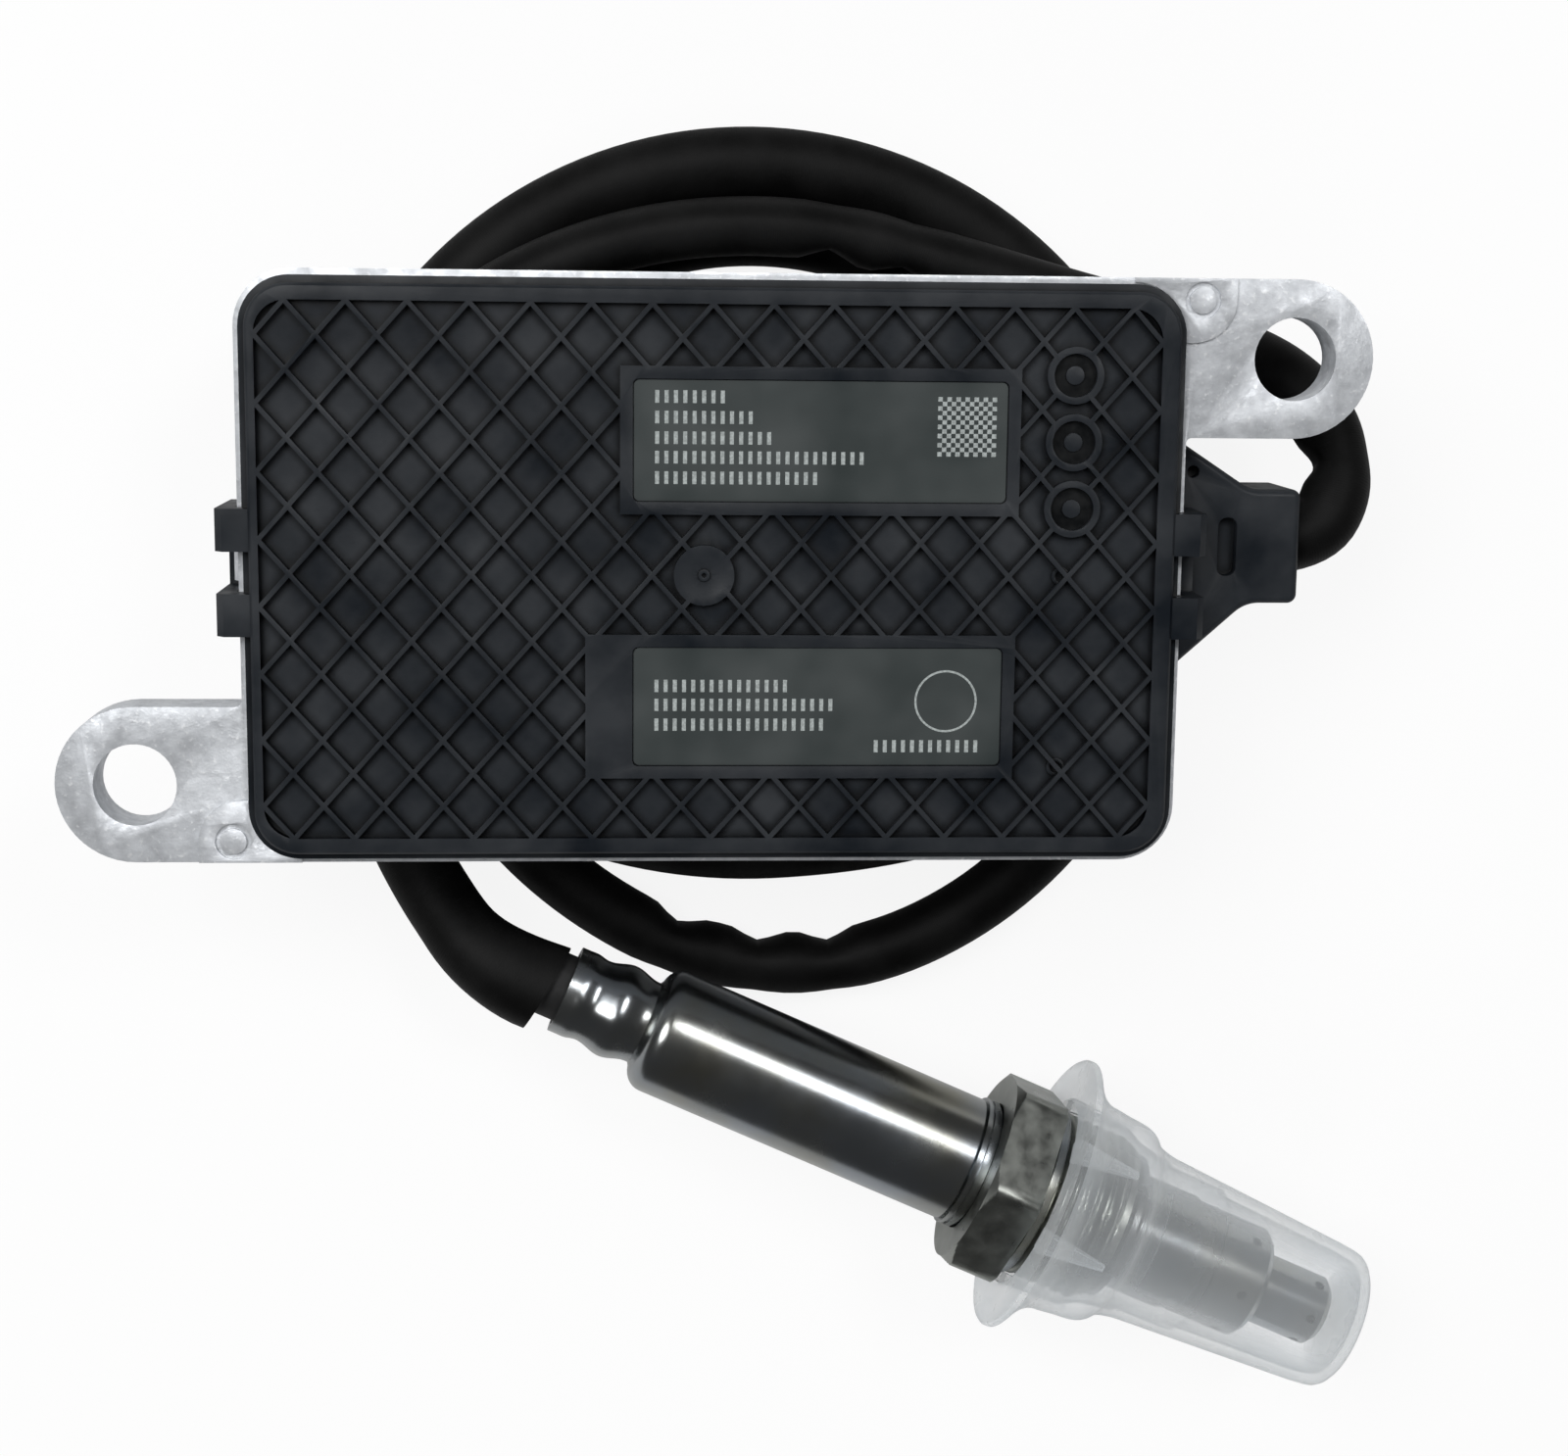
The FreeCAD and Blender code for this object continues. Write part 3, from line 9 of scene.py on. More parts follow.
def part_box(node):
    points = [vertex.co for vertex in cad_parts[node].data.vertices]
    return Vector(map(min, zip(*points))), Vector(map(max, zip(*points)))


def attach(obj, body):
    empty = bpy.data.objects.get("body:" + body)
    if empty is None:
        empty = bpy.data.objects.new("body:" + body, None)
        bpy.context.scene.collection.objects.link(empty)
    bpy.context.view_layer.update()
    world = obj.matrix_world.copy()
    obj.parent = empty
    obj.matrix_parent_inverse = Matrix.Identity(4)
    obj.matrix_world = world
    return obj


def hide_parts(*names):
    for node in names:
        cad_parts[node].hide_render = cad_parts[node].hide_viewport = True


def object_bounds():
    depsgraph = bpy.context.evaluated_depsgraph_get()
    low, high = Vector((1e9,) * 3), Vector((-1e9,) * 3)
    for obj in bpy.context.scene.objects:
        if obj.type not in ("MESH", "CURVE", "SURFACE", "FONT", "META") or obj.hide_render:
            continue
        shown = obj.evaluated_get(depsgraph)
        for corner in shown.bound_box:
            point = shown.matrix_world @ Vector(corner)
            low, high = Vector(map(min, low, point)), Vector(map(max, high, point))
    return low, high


bl_info = {
    "name": "Nitrogen Oxide Sensor",
    "version": (1, 0, 0),
    "blender": (4, 5, 0),
    "location": "View3D > Sidebar > Sensor",
    "description": "Dresses the sensor's solids and adds its cable, cap, nut and markings",
    "category": "Object",
}

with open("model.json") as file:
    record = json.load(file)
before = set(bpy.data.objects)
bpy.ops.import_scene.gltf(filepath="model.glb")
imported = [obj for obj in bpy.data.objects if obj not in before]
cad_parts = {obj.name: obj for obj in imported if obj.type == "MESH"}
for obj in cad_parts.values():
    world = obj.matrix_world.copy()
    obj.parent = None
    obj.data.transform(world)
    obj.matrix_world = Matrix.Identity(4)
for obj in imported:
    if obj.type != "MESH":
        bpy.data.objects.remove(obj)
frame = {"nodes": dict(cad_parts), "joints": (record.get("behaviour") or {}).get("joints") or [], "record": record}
CAD_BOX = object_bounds()
MM = 0.001
BLACK = (0.0, 0.0, 0.0, 1.0)
WHITE = (1.0, 1.0, 1.0, 1.0)

# Stations along the probe from the sleeve's mouth, and diameters, in millimetres
NECK_DIAMETER = 10.4
NECK_WAIST = 9.9
BULGE_DIAMETER = 11.3
SLEEVE_START = 10.0
SLEEVE_END = 50.9
SLEEVE_DIAMETER = 14.9
SLEEVE_WALL = 0.8
NUT_START = 52.7
NUT_FLATS = 22.0
NUT_HEIGHT = 6.2
NUT_CORNERS = 24.9
NUT_FACE_OVER = 0.3
NUT_CHAMFER = 0.7
NUT_TURN = 24.0
WASHER_DIAMETER = 20.6
WASHER_HEIGHT = 1.4
THREAD_DIAMETER = 20.0
THREAD_PITCH = 1.5
THREAD_LENGTH = 9.4
NUT_BORE = 15.6
CAP_START = 60.4
CAP_FLANGE = 33.4
CAP_FLARE = 2.2
CAP_MOUTH = 25.4
CAP_SHOULDER = 70.8
CAP_STEP = 73.4
CAP_BARREL = 20.2
CAP_TIP = 17.2
CAP_END = 101.2
CAP_WALL = 1.2
CAP_RIBS = 6
CAP_RIB_START = 12.0
NUT_END = NUT_START + NUT_HEIGHT
THREAD_START = NUT_END + WASHER_HEIGHT
THREAD_END = THREAD_START + THREAD_LENGTH
THREAD_DEPTH = 0.92
CRIMP_MIDDLE = 3.4
CRIMP_PITCH = 6.4
CRIMP_FLATS = 8
CRIMP_DEPTH = 0.06

# Cover, in millimetres: its two plates and its three round recesses
LABEL_LEFT = -10.0
LABEL_LENGTH = 41.4
LABEL_WIDTH = 15.2
LABEL_FRAME = 1.3
LABEL_RECESS = 0.3
PLATE_CORNER = 0.6
UPPER_LABEL = 13.9
LOWER_LABEL = -13.8
DIAL_ACROSS = 37.0
DIAL_PLACES = (20.9, 14.0, 7.1)
DIAL_DIAMETER = 4.4
DIAL_BOSS = 2.0
DIAL_DEPTH = 0.8
EDGE_ROUNDING = {"housing_casting": 0.18, "cover": 0.12, "cable_outlet": 0.3,
                 "connector_header": 0.25}

# Generic marks on the plates: left end, height across the cover and count of each row
BAR_SIZE = (0.00042, 0.0013, 0.00003)
BAR_PITCH = 0.96
MARK_ROWS = [(-6.2, 18.4, 8), (-6.2, 16.3, 11), (-6.2, 14.2, 13), (-6.2, 12.2, 23),
             (-6.2, 10.1, 18), (-6.2, -11.6, 15), (-6.2, -13.6, 20), (-6.2, -15.7, 19),
             (16.9, -18.0, 12)]
CELL_SIZE = (0.00047, 0.00047, 0.00003)
SQUARE_PLACE = (23.0, 12.7)
SQUARE_CELLS = 13
RING_PLACE = (24.2, -13.2)
RING_DIAMETER = 6.6
RING_LINE = 0.22

# Route of the cable in metres: the lead out of the control unit and the tail to the
# probe are given after the photograph, the turns between them are worked out.
LEAD_ROUTE = [(0.0581, 0.0024, -0.0058), (0.0663, 0.0024, -0.0058), (0.0699, 0.0080, -0.0068),
              (0.0691, 0.0152, -0.0102), (0.0648, 0.0206, -0.0142), (0.0570, 0.0240, -0.0180),
              (0.0483, 0.0264, -0.01945), (0.0392, 0.0289, -0.01945)]
# Share of the cable's length, then width and height of the hose as parts of its size
HOSE_SECTIONS = [(0.0, 1.0, 1.0), (0.06, 1.0, 1.0), (0.1, 0.88, 1.0), (0.36, 0.88, 1.0),
                 (0.46, 1.0, 1.0), (0.66, 1.0, 1.0), (0.72, 1.08, 0.96), (0.94, 1.08, 0.96),
                 (0.98, 1.14, 1.1), (1.0, 1.42, 1.3)]
# Where the soft hose has kinked, from the photograph
BUCKLES = [(-0.0052, -0.0500, -0.02695), (0.0057, -0.0510, -0.02695),
           (0.0157, -0.0498, -0.02695), (0.0145, 0.0350, -0.01945), (0.0230, 0.0330, -0.01945),
           (0.0694, 0.0110, -0.0085)]
BUCKLE_LENGTH = 0.0022
RIB_PITCH = 0.0008
# The turns: angle of the first point, from one to the next, and count of points
COIL_START = 60.0
COIL_STEP = 22.5
COIL_POINTS = 38
# Angles between which the cable sinks, shrinks to the small round and grows to the large one
SINK_ANGLES = (318, 395)
SHRINK_ANGLES = (285, 345)
WIDEN_ANGLES = (575, 655)
# Middles of the upper oval and of the lower rounds
UPPER_MIDDLE = (0.005, 0.0005)
LOWER_MIDDLE = (0.0052, -0.0044)
TAIL_ROUTE = [(-0.0372, -0.0316, -0.0262), (-0.0322, -0.0402, -0.0216)]
# Last stretch before the sleeve's mouth, in millimetres: room left at the mouth, length, how
# far the end and then the bend before it lie aside, and the slant of the cut end in degrees
HOSE_END = 2.0
HOSE_LAST = 7.5
HOSE_ASIDE = 0.8
HOSE_BOW = 0.5
HOSE_SLANT = 10.0

# Stage: name, place, size and power of each lamp, and whether metal mirrors it
LAMPS = (("window_lamp", (-0.45, 0.35, 0.9), 0.6, 7.0, True),
         ("fill_lamp", (0.31, 0.37, 0.77), 0.24, 1.9, True),
         ("front_lamp", (-0.1, -0.8, 0.7), 0.5, 1.8, False))
LAMP_AIM = (0.0, -0.02, -0.01)
# Light of the white room on the object, and shares of room and floor that gloss mirrors
ROOM_LIGHT = 0.22
ROOM_MIRRORED = 0.3
FLOOR_MIRRORED = 0.75
# Share of plain white in the floor that the camera sees, and half its side in metres
FLOOR_GLOW = 0.88
FLOOR_REACH = 3.0


# Places read from the frame, and small sums

def node_box(name):
    low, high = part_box(name)
    return Vector(low), Vector(high)


def probe_frame():
    """Matrix of the probe: local +X from the neck towards the cap, in metres."""
    spin = next(joint for joint in frame["joints"] if joint["name"] == "nut_spin")
    along = Vector(spin["axis"]).normalized()
    side = Vector((0, 0, 1)).cross(along).normalized()
    up = along.cross(side)
    turn = Matrix((along, side, up)).transposed().to_4x4()
    return Matrix.Translation(Vector(spin["pos_m"]) - along * NUT_START * MM) @ turn


def ease(value, start, end):
    """0 before the start, 1 after the end, and a soft step between."""
    t = max(0.0, min(1.0, (value - start) / (end - start)))
    return t * t * (3 - 2 * t)


def evenly(start, end, count):
    return [start + (end - start) * index / count for index in range(count + 1)]


# Settings that a user would change

class CableSettings(bpy.types.PropertyGroup):
    diameter: bpy.props.FloatProperty(
        name="Hose diameter", description="Outside of the hose", default=0.0075, unit="LENGTH")
    upper_length: bpy.props.FloatProperty(
        name="Upper loop half length", description="Half of the upper loop along the case",
        default=0.0456, unit="LENGTH")
    upper_width: bpy.props.FloatProperty(
        name="Upper loop half width", description="Half of the upper loop across the case",
        default=0.0352, unit="LENGTH")
    inner_radius: bpy.props.FloatProperty(
        name="Inner loop radius", description="Radius of the inner lower loop",
        default=0.0394, unit="LENGTH")
    outer_radius: bpy.props.FloatProperty(
        name="Outer loop radius", description="Radius of the outer lower loop",
        default=0.0472, unit="LENGTH")
    buckle: bpy.props.FloatProperty(
        name="Buckle depth", description="How far the hose caves in where it kinks",
        default=0.0015, unit="LENGTH")


class FinishSettings(bpy.types.PropertyGroup):
    cover_hex: bpy.props.StringProperty(
        name="Cover", description="sRGB colour of the moulded cover", default="#131920")
    plate_hex: bpy.props.StringProperty(
        name="Plate", description="sRGB colour of the marking areas", default="#2d3434")
    mark_hex: bpy.props.StringProperty(
        name="Mark", description="sRGB colour of the laser marks", default="#aab1b0")
    casting_hex: bpy.props.StringProperty(
        name="Casting", description="sRGB colour of the die-cast case", default="#dde0e4")
    hose_hex: bpy.props.StringProperty(
        name="Hose", description="sRGB colour of the hose", default="#090909")
    cap_hex: bpy.props.StringProperty(
        name="Cap", description="sRGB colour of the protective cap", default="#f4f8fa")


class StageSettings(bpy.types.PropertyGroup):
    focal_length: bpy.props.FloatProperty(
        name="Focal length", description="Lens of the photograph on a 36 mm sensor",
        default=58.5)
    camera_place: bpy.props.FloatVectorProperty(
        name="Camera place", description="Where the photograph was taken from",
        default=(-0.0101, 0.0287, 0.2719), subtype="TRANSLATION")
    camera_turn: bpy.props.FloatVectorProperty(
        name="Camera turn", description="Tilt, swing and roll of the camera",
        default=(math.radians(-9.67), math.radians(-3.65), math.radians(0.64)), subtype="EULER")
    floor_hex: bpy.props.StringProperty(
        name="Floor", description="sRGB colour of the floor", default="#f4f4f4")


def cable_settings():
    return bpy.context.scene.sensor_cable


def finish():
    return bpy.context.scene.sensor_finish


def stage_settings():
    return bpy.context.scene.sensor_stage


# Materials

def linear(hex_colour):
    """The linear colour of an sRGB hex value."""
    channels = [int(hex_colour[i:i + 2], 16) / 255 for i in (1, 3, 5)]
    return tuple(c / 12.92 if c <= 0.04045 else ((c + 0.055) / 1.055) ** 2.4
                 for c in channels) + (1.0,)


def mixed(first, second, share):
    return tuple(a + (b - a) * share for a, b in zip(first, second))


def darker(colour, share):
    return mixed(colour, BLACK, share)


def paler(colour, share):
    return mixed(colour, WHITE, share)


def add_node(tree, kind, settings=None, links=None):
    """A node with its settings by name and its inputs linked or set."""
    node = tree.nodes.new(kind)
    for name, value in (settings or {}).items():
        setattr(node, name, value)
    for name, source in (links or {}).items():
        if isinstance(source, bpy.types.NodeSocket):
            tree.links.new(source, node.inputs[name])
        else:
            node.inputs[name].default_value = source
    return node


def new_material(name, colour, roughness, metallic=0.0, specular=0.5):
    """A material with its constant values on the shader's own sockets."""
    material = bpy.data.materials.new(name)
    material.use_nodes = True
    tree = material.node_tree
    shader = tree.nodes["Principled BSDF"]
    for socket, value in (("Base Color", colour), ("Roughness", roughness),
                          ("Metallic", metallic), ("Specular IOR Level", specular)):
        shader.inputs[socket].default_value = value
    return material, tree, shader


def object_coordinates(tree, scale=(1, 1, 1), turn=(0, 0, 0), place=(0, 0, 0)):
    coordinates = add_node(tree, "ShaderNodeTexCoord")
    mapping = add_node(tree, "ShaderNodeMapping", {"vector_type": "TEXTURE"}, {
        "Vector": coordinates.outputs["Object"], "Location": place, "Rotation": turn})
    stretch = add_node(tree, "ShaderNodeVectorMath", {"operation": "MULTIPLY"},
                       {0: mapping.outputs["Vector"], 1: scale})
    return stretch.outputs["Vector"]


def begin_material(name, hex_colour, roughness, metallic=0.0, specular=0.5):
    """A new material with its base colour and Object coordinates, to build on."""
    base = linear(hex_colour)
    material, tree, shader = new_material(name, base, roughness, metallic, specular)
    return material, tree, shader, base, object_coordinates(tree)


def probe_coordinates(tree, across):
    """Coordinates along the probe's axis; a small share across it draws patches into rings."""
    place = probe_frame()
    return object_coordinates(tree, (1, across, across), tuple(place.to_euler()),
                              tuple(place.translation))


def calculated(tree, operation, *values):
    return add_node(tree, "ShaderNodeMath", {"operation": operation},
                    dict(enumerate(values))).outputs[0]


def noise(tree, vector, size, detail=3.0, roughness=0.5):
    """Noise whose features are about this many millimetres across."""
    return add_node(tree, "ShaderNodeTexNoise", None, {
        "Vector": vector, "Scale": 1 / (size * MM), "Detail": detail,
        "Roughness": roughness}).outputs["Fac"]


def spread(tree, value, low, high, out_low=0.0, out_high=1.0):
    return add_node(tree, "ShaderNodeMapRange", None, {
        "Value": value, "From Min": low, "From Max": high,
        "To Min": out_low, "To Max": out_high}).outputs["Result"]


def patches(tree, vector, size, detail=3.0, low=0.3, high=0.7):
    """Noise of the given size in millimetres, stretched to shares of 0 to 1."""
    return spread(tree, noise(tree, vector, size, detail), low, high)


def blend_colours(tree, factor, first, second):
    node = add_node(tree, "ShaderNodeMix", {"data_type": "RGBA"})
    tree.links.new(factor, node.inputs["Factor"])
    for socket, colour in ((node.inputs[6], first), (node.inputs[7], second)):
        if isinstance(colour, bpy.types.NodeSocket):
            tree.links.new(colour, socket)
        else:
            socket.default_value = colour
    return node.outputs[2]


def paint(tree, shader, share, first, second):
    """Base colour between two colours, by a share of 0 to 1."""
    tree.links.new(blend_colours(tree, share, first, second), shader.inputs["Base Color"])


def roughen(tree, shader, vector, size, low, high, detail=3.0):
    """Roughness that wanders between two values, in patches of a size in millimetres."""
    rough = spread(tree, noise(tree, vector, size, detail), 0.3, 0.7, low, high)
    tree.links.new(rough, shader.inputs["Roughness"])


def bump(tree, shader, height, distance, strength=1.0, before=None):
    links = {"Height": height, "Distance": distance, "Strength": strength}
    if before is not None:
        links["Normal"] = before
    node = add_node(tree, "ShaderNodeBump", None, links)
    tree.links.new(node.outputs["Normal"], shader.inputs["Normal"])
    return node.outputs["Normal"]


def filled_nylon():
    """Glass-filled PA66, moulded on a spark-eroded tool: satin with a faint grain.

    Narrow corners are darker: painted shade, from an ambient occlusion mask on the base colour.
    """
    material, tree, shader, base, vector = begin_material(
        "filled_nylon", finish().cover_hex, 0.46, specular=0.17)
    cloudy = blend_colours(tree, patches(tree, vector, 9.0, 4.0), darker(base, 0.25),
                           paler(base, 0.025))
    # Painted shade: ambient occlusion darkens the colour in narrow corners and at the foot of the ribs
    corner = add_node(tree, "ShaderNodeAmbientOcclusion", {"samples": 6},
                      {"Distance": 1.1 * MM})
    paint(tree, shader, spread(tree, corner.outputs["AO"], 0.45, 0.95), darker(base, 0.85),
          cloudy)
    roughen(tree, shader, vector, 3.0, 0.36, 0.5)
    bump(tree, shader, noise(tree, vector, 0.35, 2.0), 0.02 * MM, 0.4)
    return material


def marking_plate():
    """The same nylon, polished flat and laser-greyed for marking."""
    material, tree, shader, base, vector = begin_material(
        "marking_plate", finish().plate_hex, 0.5, specular=0.25)
    paint(tree, shader, patches(tree, vector, 9.0, 2.0), darker(base, 0.1), paler(base, 0.03))
    bump(tree, shader, noise(tree, vector, 0.3, 2.0), 0.02 * MM, 0.4)
    return material


def recess_shade_nylon():
    """The cover's nylon where the mould pin was polished, painted near black: painted shade and painted reflection
    of the dark it mirrors.
    """
    material, tree, shader, base, vector = begin_material(
        # Near-black base colour: painted shade and painted reflection on the recess floors
        "recess_shade_nylon", "#07090b", 0.3, specular=0.2)
    paint(tree, shader, patches(tree, vector, 1.5, 3.0, 0.35), base, paler(base, 0.01))
    return material


def laser_mark():
    """Foamed, light grey laser marking: matt and slightly broken up."""
    material, tree, shader, base, vector = begin_material("laser_mark", finish().mark_hex, 0.75)
    paint(tree, shader, patches(tree, vector, 0.25, 2.0, 0.35, 0.65), darker(base, 0.35), base)
    return material


def cast_aluminium():
    """Die-cast aluminium, tumbled: mottled light grey with small pits."""
    material, tree, shader, base, vector = begin_material(
        "cast_aluminium", finish().casting_hex, 0.45, 0.5)
    mottle = spread(tree, noise(tree, vector, 2.2, 5.0, 0.65), 0.35, 0.68)
    dull = blend_colours(tree, mottle, mixed(base, (0.05, 0.06, 0.08, 1.0), 0.28), base)
    paint(tree, shader, patches(tree, vector, 0.6, 2.0, 0.6, 0.75), dull, paler(base, 0.35))
    roughen(tree, shader, vector, 1.5, 0.38, 0.62)
    first = bump(tree, shader, noise(tree, vector, 1.2, 4.0), 0.12 * MM, 0.5)
    bump(tree, shader, noise(tree, vector, 0.25, 2.0), 0.03 * MM, 0.5, first)
    return material


def hose_sheath():
    """Soft rubberised hose over the wires: dull black, finely ribbed along its path."""
    material, tree, shader, base, vector = begin_material(
        "hose_sheath", finish().hose_hex, 0.55, specular=0.12)
    paint(tree, shader, patches(tree, vector, 7.0), darker(base, 0.4), paler(base, 0.004))
    way = add_node(tree, "ShaderNodeUVMap", {"uv_map": "path"})
    weave = add_node(tree, "ShaderNodeTexWave", {"bands_direction": "X"}, {
        "Vector": way.outputs["UV"], "Scale": 1.0, "Distortion": 0.4, "Detail": 1.0})
    first = bump(tree, shader, weave.outputs["Fac"], 0.05 * MM, 0.25)
    bump(tree, shader, noise(tree, vector, 0.5), 0.04 * MM, 0.5, first)
    return material


def soft_rubber():
    """Moulded fluoro-rubber: dull black."""
    material, tree, shader, base, vector = begin_material("soft_rubber", "#101011", 0.7)
    paint(tree, shader, patches(tree, vector, 2.5), darker(base, 0.35), paler(base, 0.01))
    bump(tree, shader, noise(tree, vector, 0.4, 2.0), 0.03 * MM, 0.5)
    return material


def drawn_stainless():
    """Deep-drawn stainless steel, turned clean: bright with fine rings round the axis."""
    material, tree, shader, base, vector = begin_material("drawn_stainless", "#9a9fa4", 0.2, 1.0)
    paint(tree, shader, patches(tree, vector, 11.0, low=0.4), base, linear("#96958b"))
    roughen(tree, shader, vector, 6.0, 0.2, 0.29, 4.0)
    rings = noise(tree, probe_coordinates(tree, 0.02), 0.18, 2.0)
    first = bump(tree, shader, rings, 0.012 * MM, 0.5)
    bump(tree, shader, noise(tree, vector, 1.0), 0.01 * MM, 0.4, first)
    return material


def milled_steel():
    """Heat-resistant steel: turned faces and milled flats with a dull, cloudy sheen."""
    material, tree, shader, base, vector = begin_material("milled_steel", "#a6a9a4", 0.34, 1.0)
    tone = spread(tree, noise(tree, vector, 4.0, 5.0, 0.6), 0.35, 0.7)
    paint(tree, shader, tone, darker(base, 0.35), base)
    roughen(tree, shader, vector, 2.0, 0.27, 0.45)
    rings = noise(tree, probe_coordinates(tree, 0.05), 0.3)
    bump(tree, shader, rings, 0.02 * MM, 0.5)
    return material


def cap_polyethylene():
    """Low-density polyethylene, injection moulded thin: milky, waxy, lets the metal show.

    The milk is the share of light each skin stops, and a slanting look meets more of it.
    """
    material, tree, shader, base, vector = begin_material(
        "cap_polyethylene", finish().cap_hex, 0.3)
    paint(tree, shader, patches(tree, vector, 8.0), base, mixed(base, linear("#c4d2dd"), 0.3))
    slant = add_node(tree, "ShaderNodeLayerWeight", None, {"Blend": 0.3})
    milk = spread(tree, slant.outputs["Facing"], 0.05, 0.85, 0.13, 0.85)
    tree.links.new(milk, shader.inputs["Alpha"])
    roughen(tree, shader, vector, 4.0, 0.24, 0.36)
    bump(tree, shader, noise(tree, vector, 3.0, 2.0), 0.02 * MM, 0.3)
    return material


def fired_ceramic():
    """Steatite and alumina: off-white, dry and matt."""
    material, tree, shader, base, vector = begin_material("fired_ceramic", "#dedad0", 0.7)
    paint(tree, shader, patches(tree, vector, 1.8, 4.0, 0.35),
          mixed(base, linear("#b9ac93"), 0.3), base)
    bump(tree, shader, noise(tree, vector, 0.4), 0.03 * MM, 0.5)
    return material


def tinned_contact():
    """Tin-plated copper alloy: pale, soft shine."""
    material, tree, shader, base, vector = begin_material("tinned_contact", "#c9c6bb", 0.3, 1.0)
    paint(tree, shader, patches(tree, vector, 1.4), darker(base, 0.2), base)
    roughen(tree, shader, vector, 0.8, 0.22, 0.4)
    return material


def board_laminate():
    """Glass-epoxy board under green solder resist."""
    material, tree, shader, base, vector = begin_material("board_laminate", "#1f5a36", 0.35)
    paint(tree, shader, patches(tree, vector, 3.0, 2.0, 0.45, 0.55), darker(base, 0.25), base)
    return material


MATERIAL_MAKERS = {
    "cover_plastic": filled_nylon,
    "connector_plastic": filled_nylon,
    "chip_plastic": filled_nylon,
    "cast_aluminium": cast_aluminium,
    "capacitor_can": tinned_contact,
    "zinc_steel": tinned_contact,
    "contact_metal": tinned_contact,
    "seal_rubber": soft_rubber,
    "gap_filler": soft_rubber,
    "board_laminate": board_laminate,
    "cable_hose": hose_sheath,
    "stainless": drawn_stainless,
    "nut_steel": milled_steel,
    "ceramic": fired_ceramic,
    "cap_polyethylene": cap_polyethylene,
}
made_materials = {}


def shared(maker):
    """The one material of a maker, made at its first use."""
    if maker.__name__ not in made_materials:
        made_materials[maker.__name__] = maker()
    return made_materials[maker.__name__]


def material_of(slot):
    return shared(MATERIAL_MAKERS[slot])


# Mesh helpers

def new_object(name, data, material=None):
    item = bpy.data.objects.new(name, data)
    bpy.context.scene.collection.objects.link(item)
    if material is not None:
        data.materials.clear()
        data.materials.append(material)
    return item


def mesh_from(name, build):
    mesh = bpy.data.meshes.new(name)
    work = bmesh.new()
    build(work)
    work.to_mesh(mesh)
    work.free()
    return mesh


def smooth(mesh, angle=math.radians(35)):
    for face in mesh.polygons:
        face.use_smooth = True
    mesh.set_sharp_from_angle(angle=angle)


def evaluated_mesh(item):
    """The mesh that an object's modifiers give, with the modifiers then taken off."""
    bpy.context.view_layer.update()
    finished = bpy.data.meshes.new_from_object(
        item.evaluated_get(bpy.context.evaluated_depsgraph_get()))
    item.modifiers.clear()
    return finished


def softened(node, name, width):
    """A copy of a solid with its coplanar faces joined and its edges softly rounded."""
    mesh = frame["nodes"][node].data.copy()
    mesh.name = name
    work = bmesh.new()
    work.from_mesh(mesh)
    bmesh.ops.remove_doubles(work, verts=work.verts, dist=1e-6)
    bmesh.ops.dissolve_limit(work, angle_limit=math.radians(1.0), verts=work.verts,
                             edges=work.edges)
    work.to_mesh(mesh)
    work.free()
    smooth(mesh, math.radians(180))
    item = new_object(name, mesh)
    bevel = item.modifiers.new("rounding", "BEVEL")
    bevel.width = width
    bevel.segments = 2
    bevel.limit_method = "ANGLE"
    bevel.angle_limit = math.radians(30)
    bevel.use_clamp_overlap = True
    bevel.harden_normals = True
    item.data = evaluated_mesh(item)
    return item


def new_group(name, inputs, output):
    """A Geometry Nodes tree: its inputs by label and kind, their node and identifiers."""
    group = bpy.data.node_groups.new(name, "GeometryNodeTree")
    keys = {label: group.interface.new_socket(
        label, in_out="INPUT", socket_type="NodeSocket" + kind).identifier
        for label, kind in inputs.items()}
    group.interface.new_socket(output, in_out="OUTPUT", socket_type="NodeSocketGeometry")
    return group, add_node(group, "NodeGroupInput"), keys


def finish_group(item, group, given, copies, output, keys, values):
    """Makes copies real with their finish, and gives the object the mesh of its group."""
    solid = add_node(group, "GeometryNodeRealizeInstances", None, {
        "Geometry": copies.outputs["Instances"]})
    painted = add_node(group, "GeometryNodeSetMaterial", None, {
        "Geometry": solid.outputs["Geometry"], "Material": given.outputs["Finish"]})
    add_node(group, "NodeGroupOutput", None, {output: painted.outputs["Geometry"]})
    modifier = item.modifiers.new(group.name, "NODES")
    modifier.node_group = group
    for label, value in values.items():
        modifier[keys[label]] = value
    item.data = evaluated_mesh(item)


def stamped(name, places, size, material):
    """One flat block of the given size at each place, set out by Geometry Nodes."""
    mesh = bpy.data.meshes.new(name)
    mesh.from_pydata(places, [], [])
    item = new_object(name, mesh)
    group, given, keys = new_group("stamp", {
        "Places": "Geometry", "Block size": "Vector", "Finish": "Material"}, "Blocks")
    cube = add_node(group, "GeometryNodeMeshCube", None, {"Size": given.outputs["Block size"]})
    copies = add_node(group, "GeometryNodeInstanceOnPoints", None, {
        "Points": given.outputs["Places"], "Instance": cube.outputs["Mesh"]})
    finish_group(item, group, given, copies, "Blocks", keys,
                 {"Block size": size, "Finish": material})
    return item


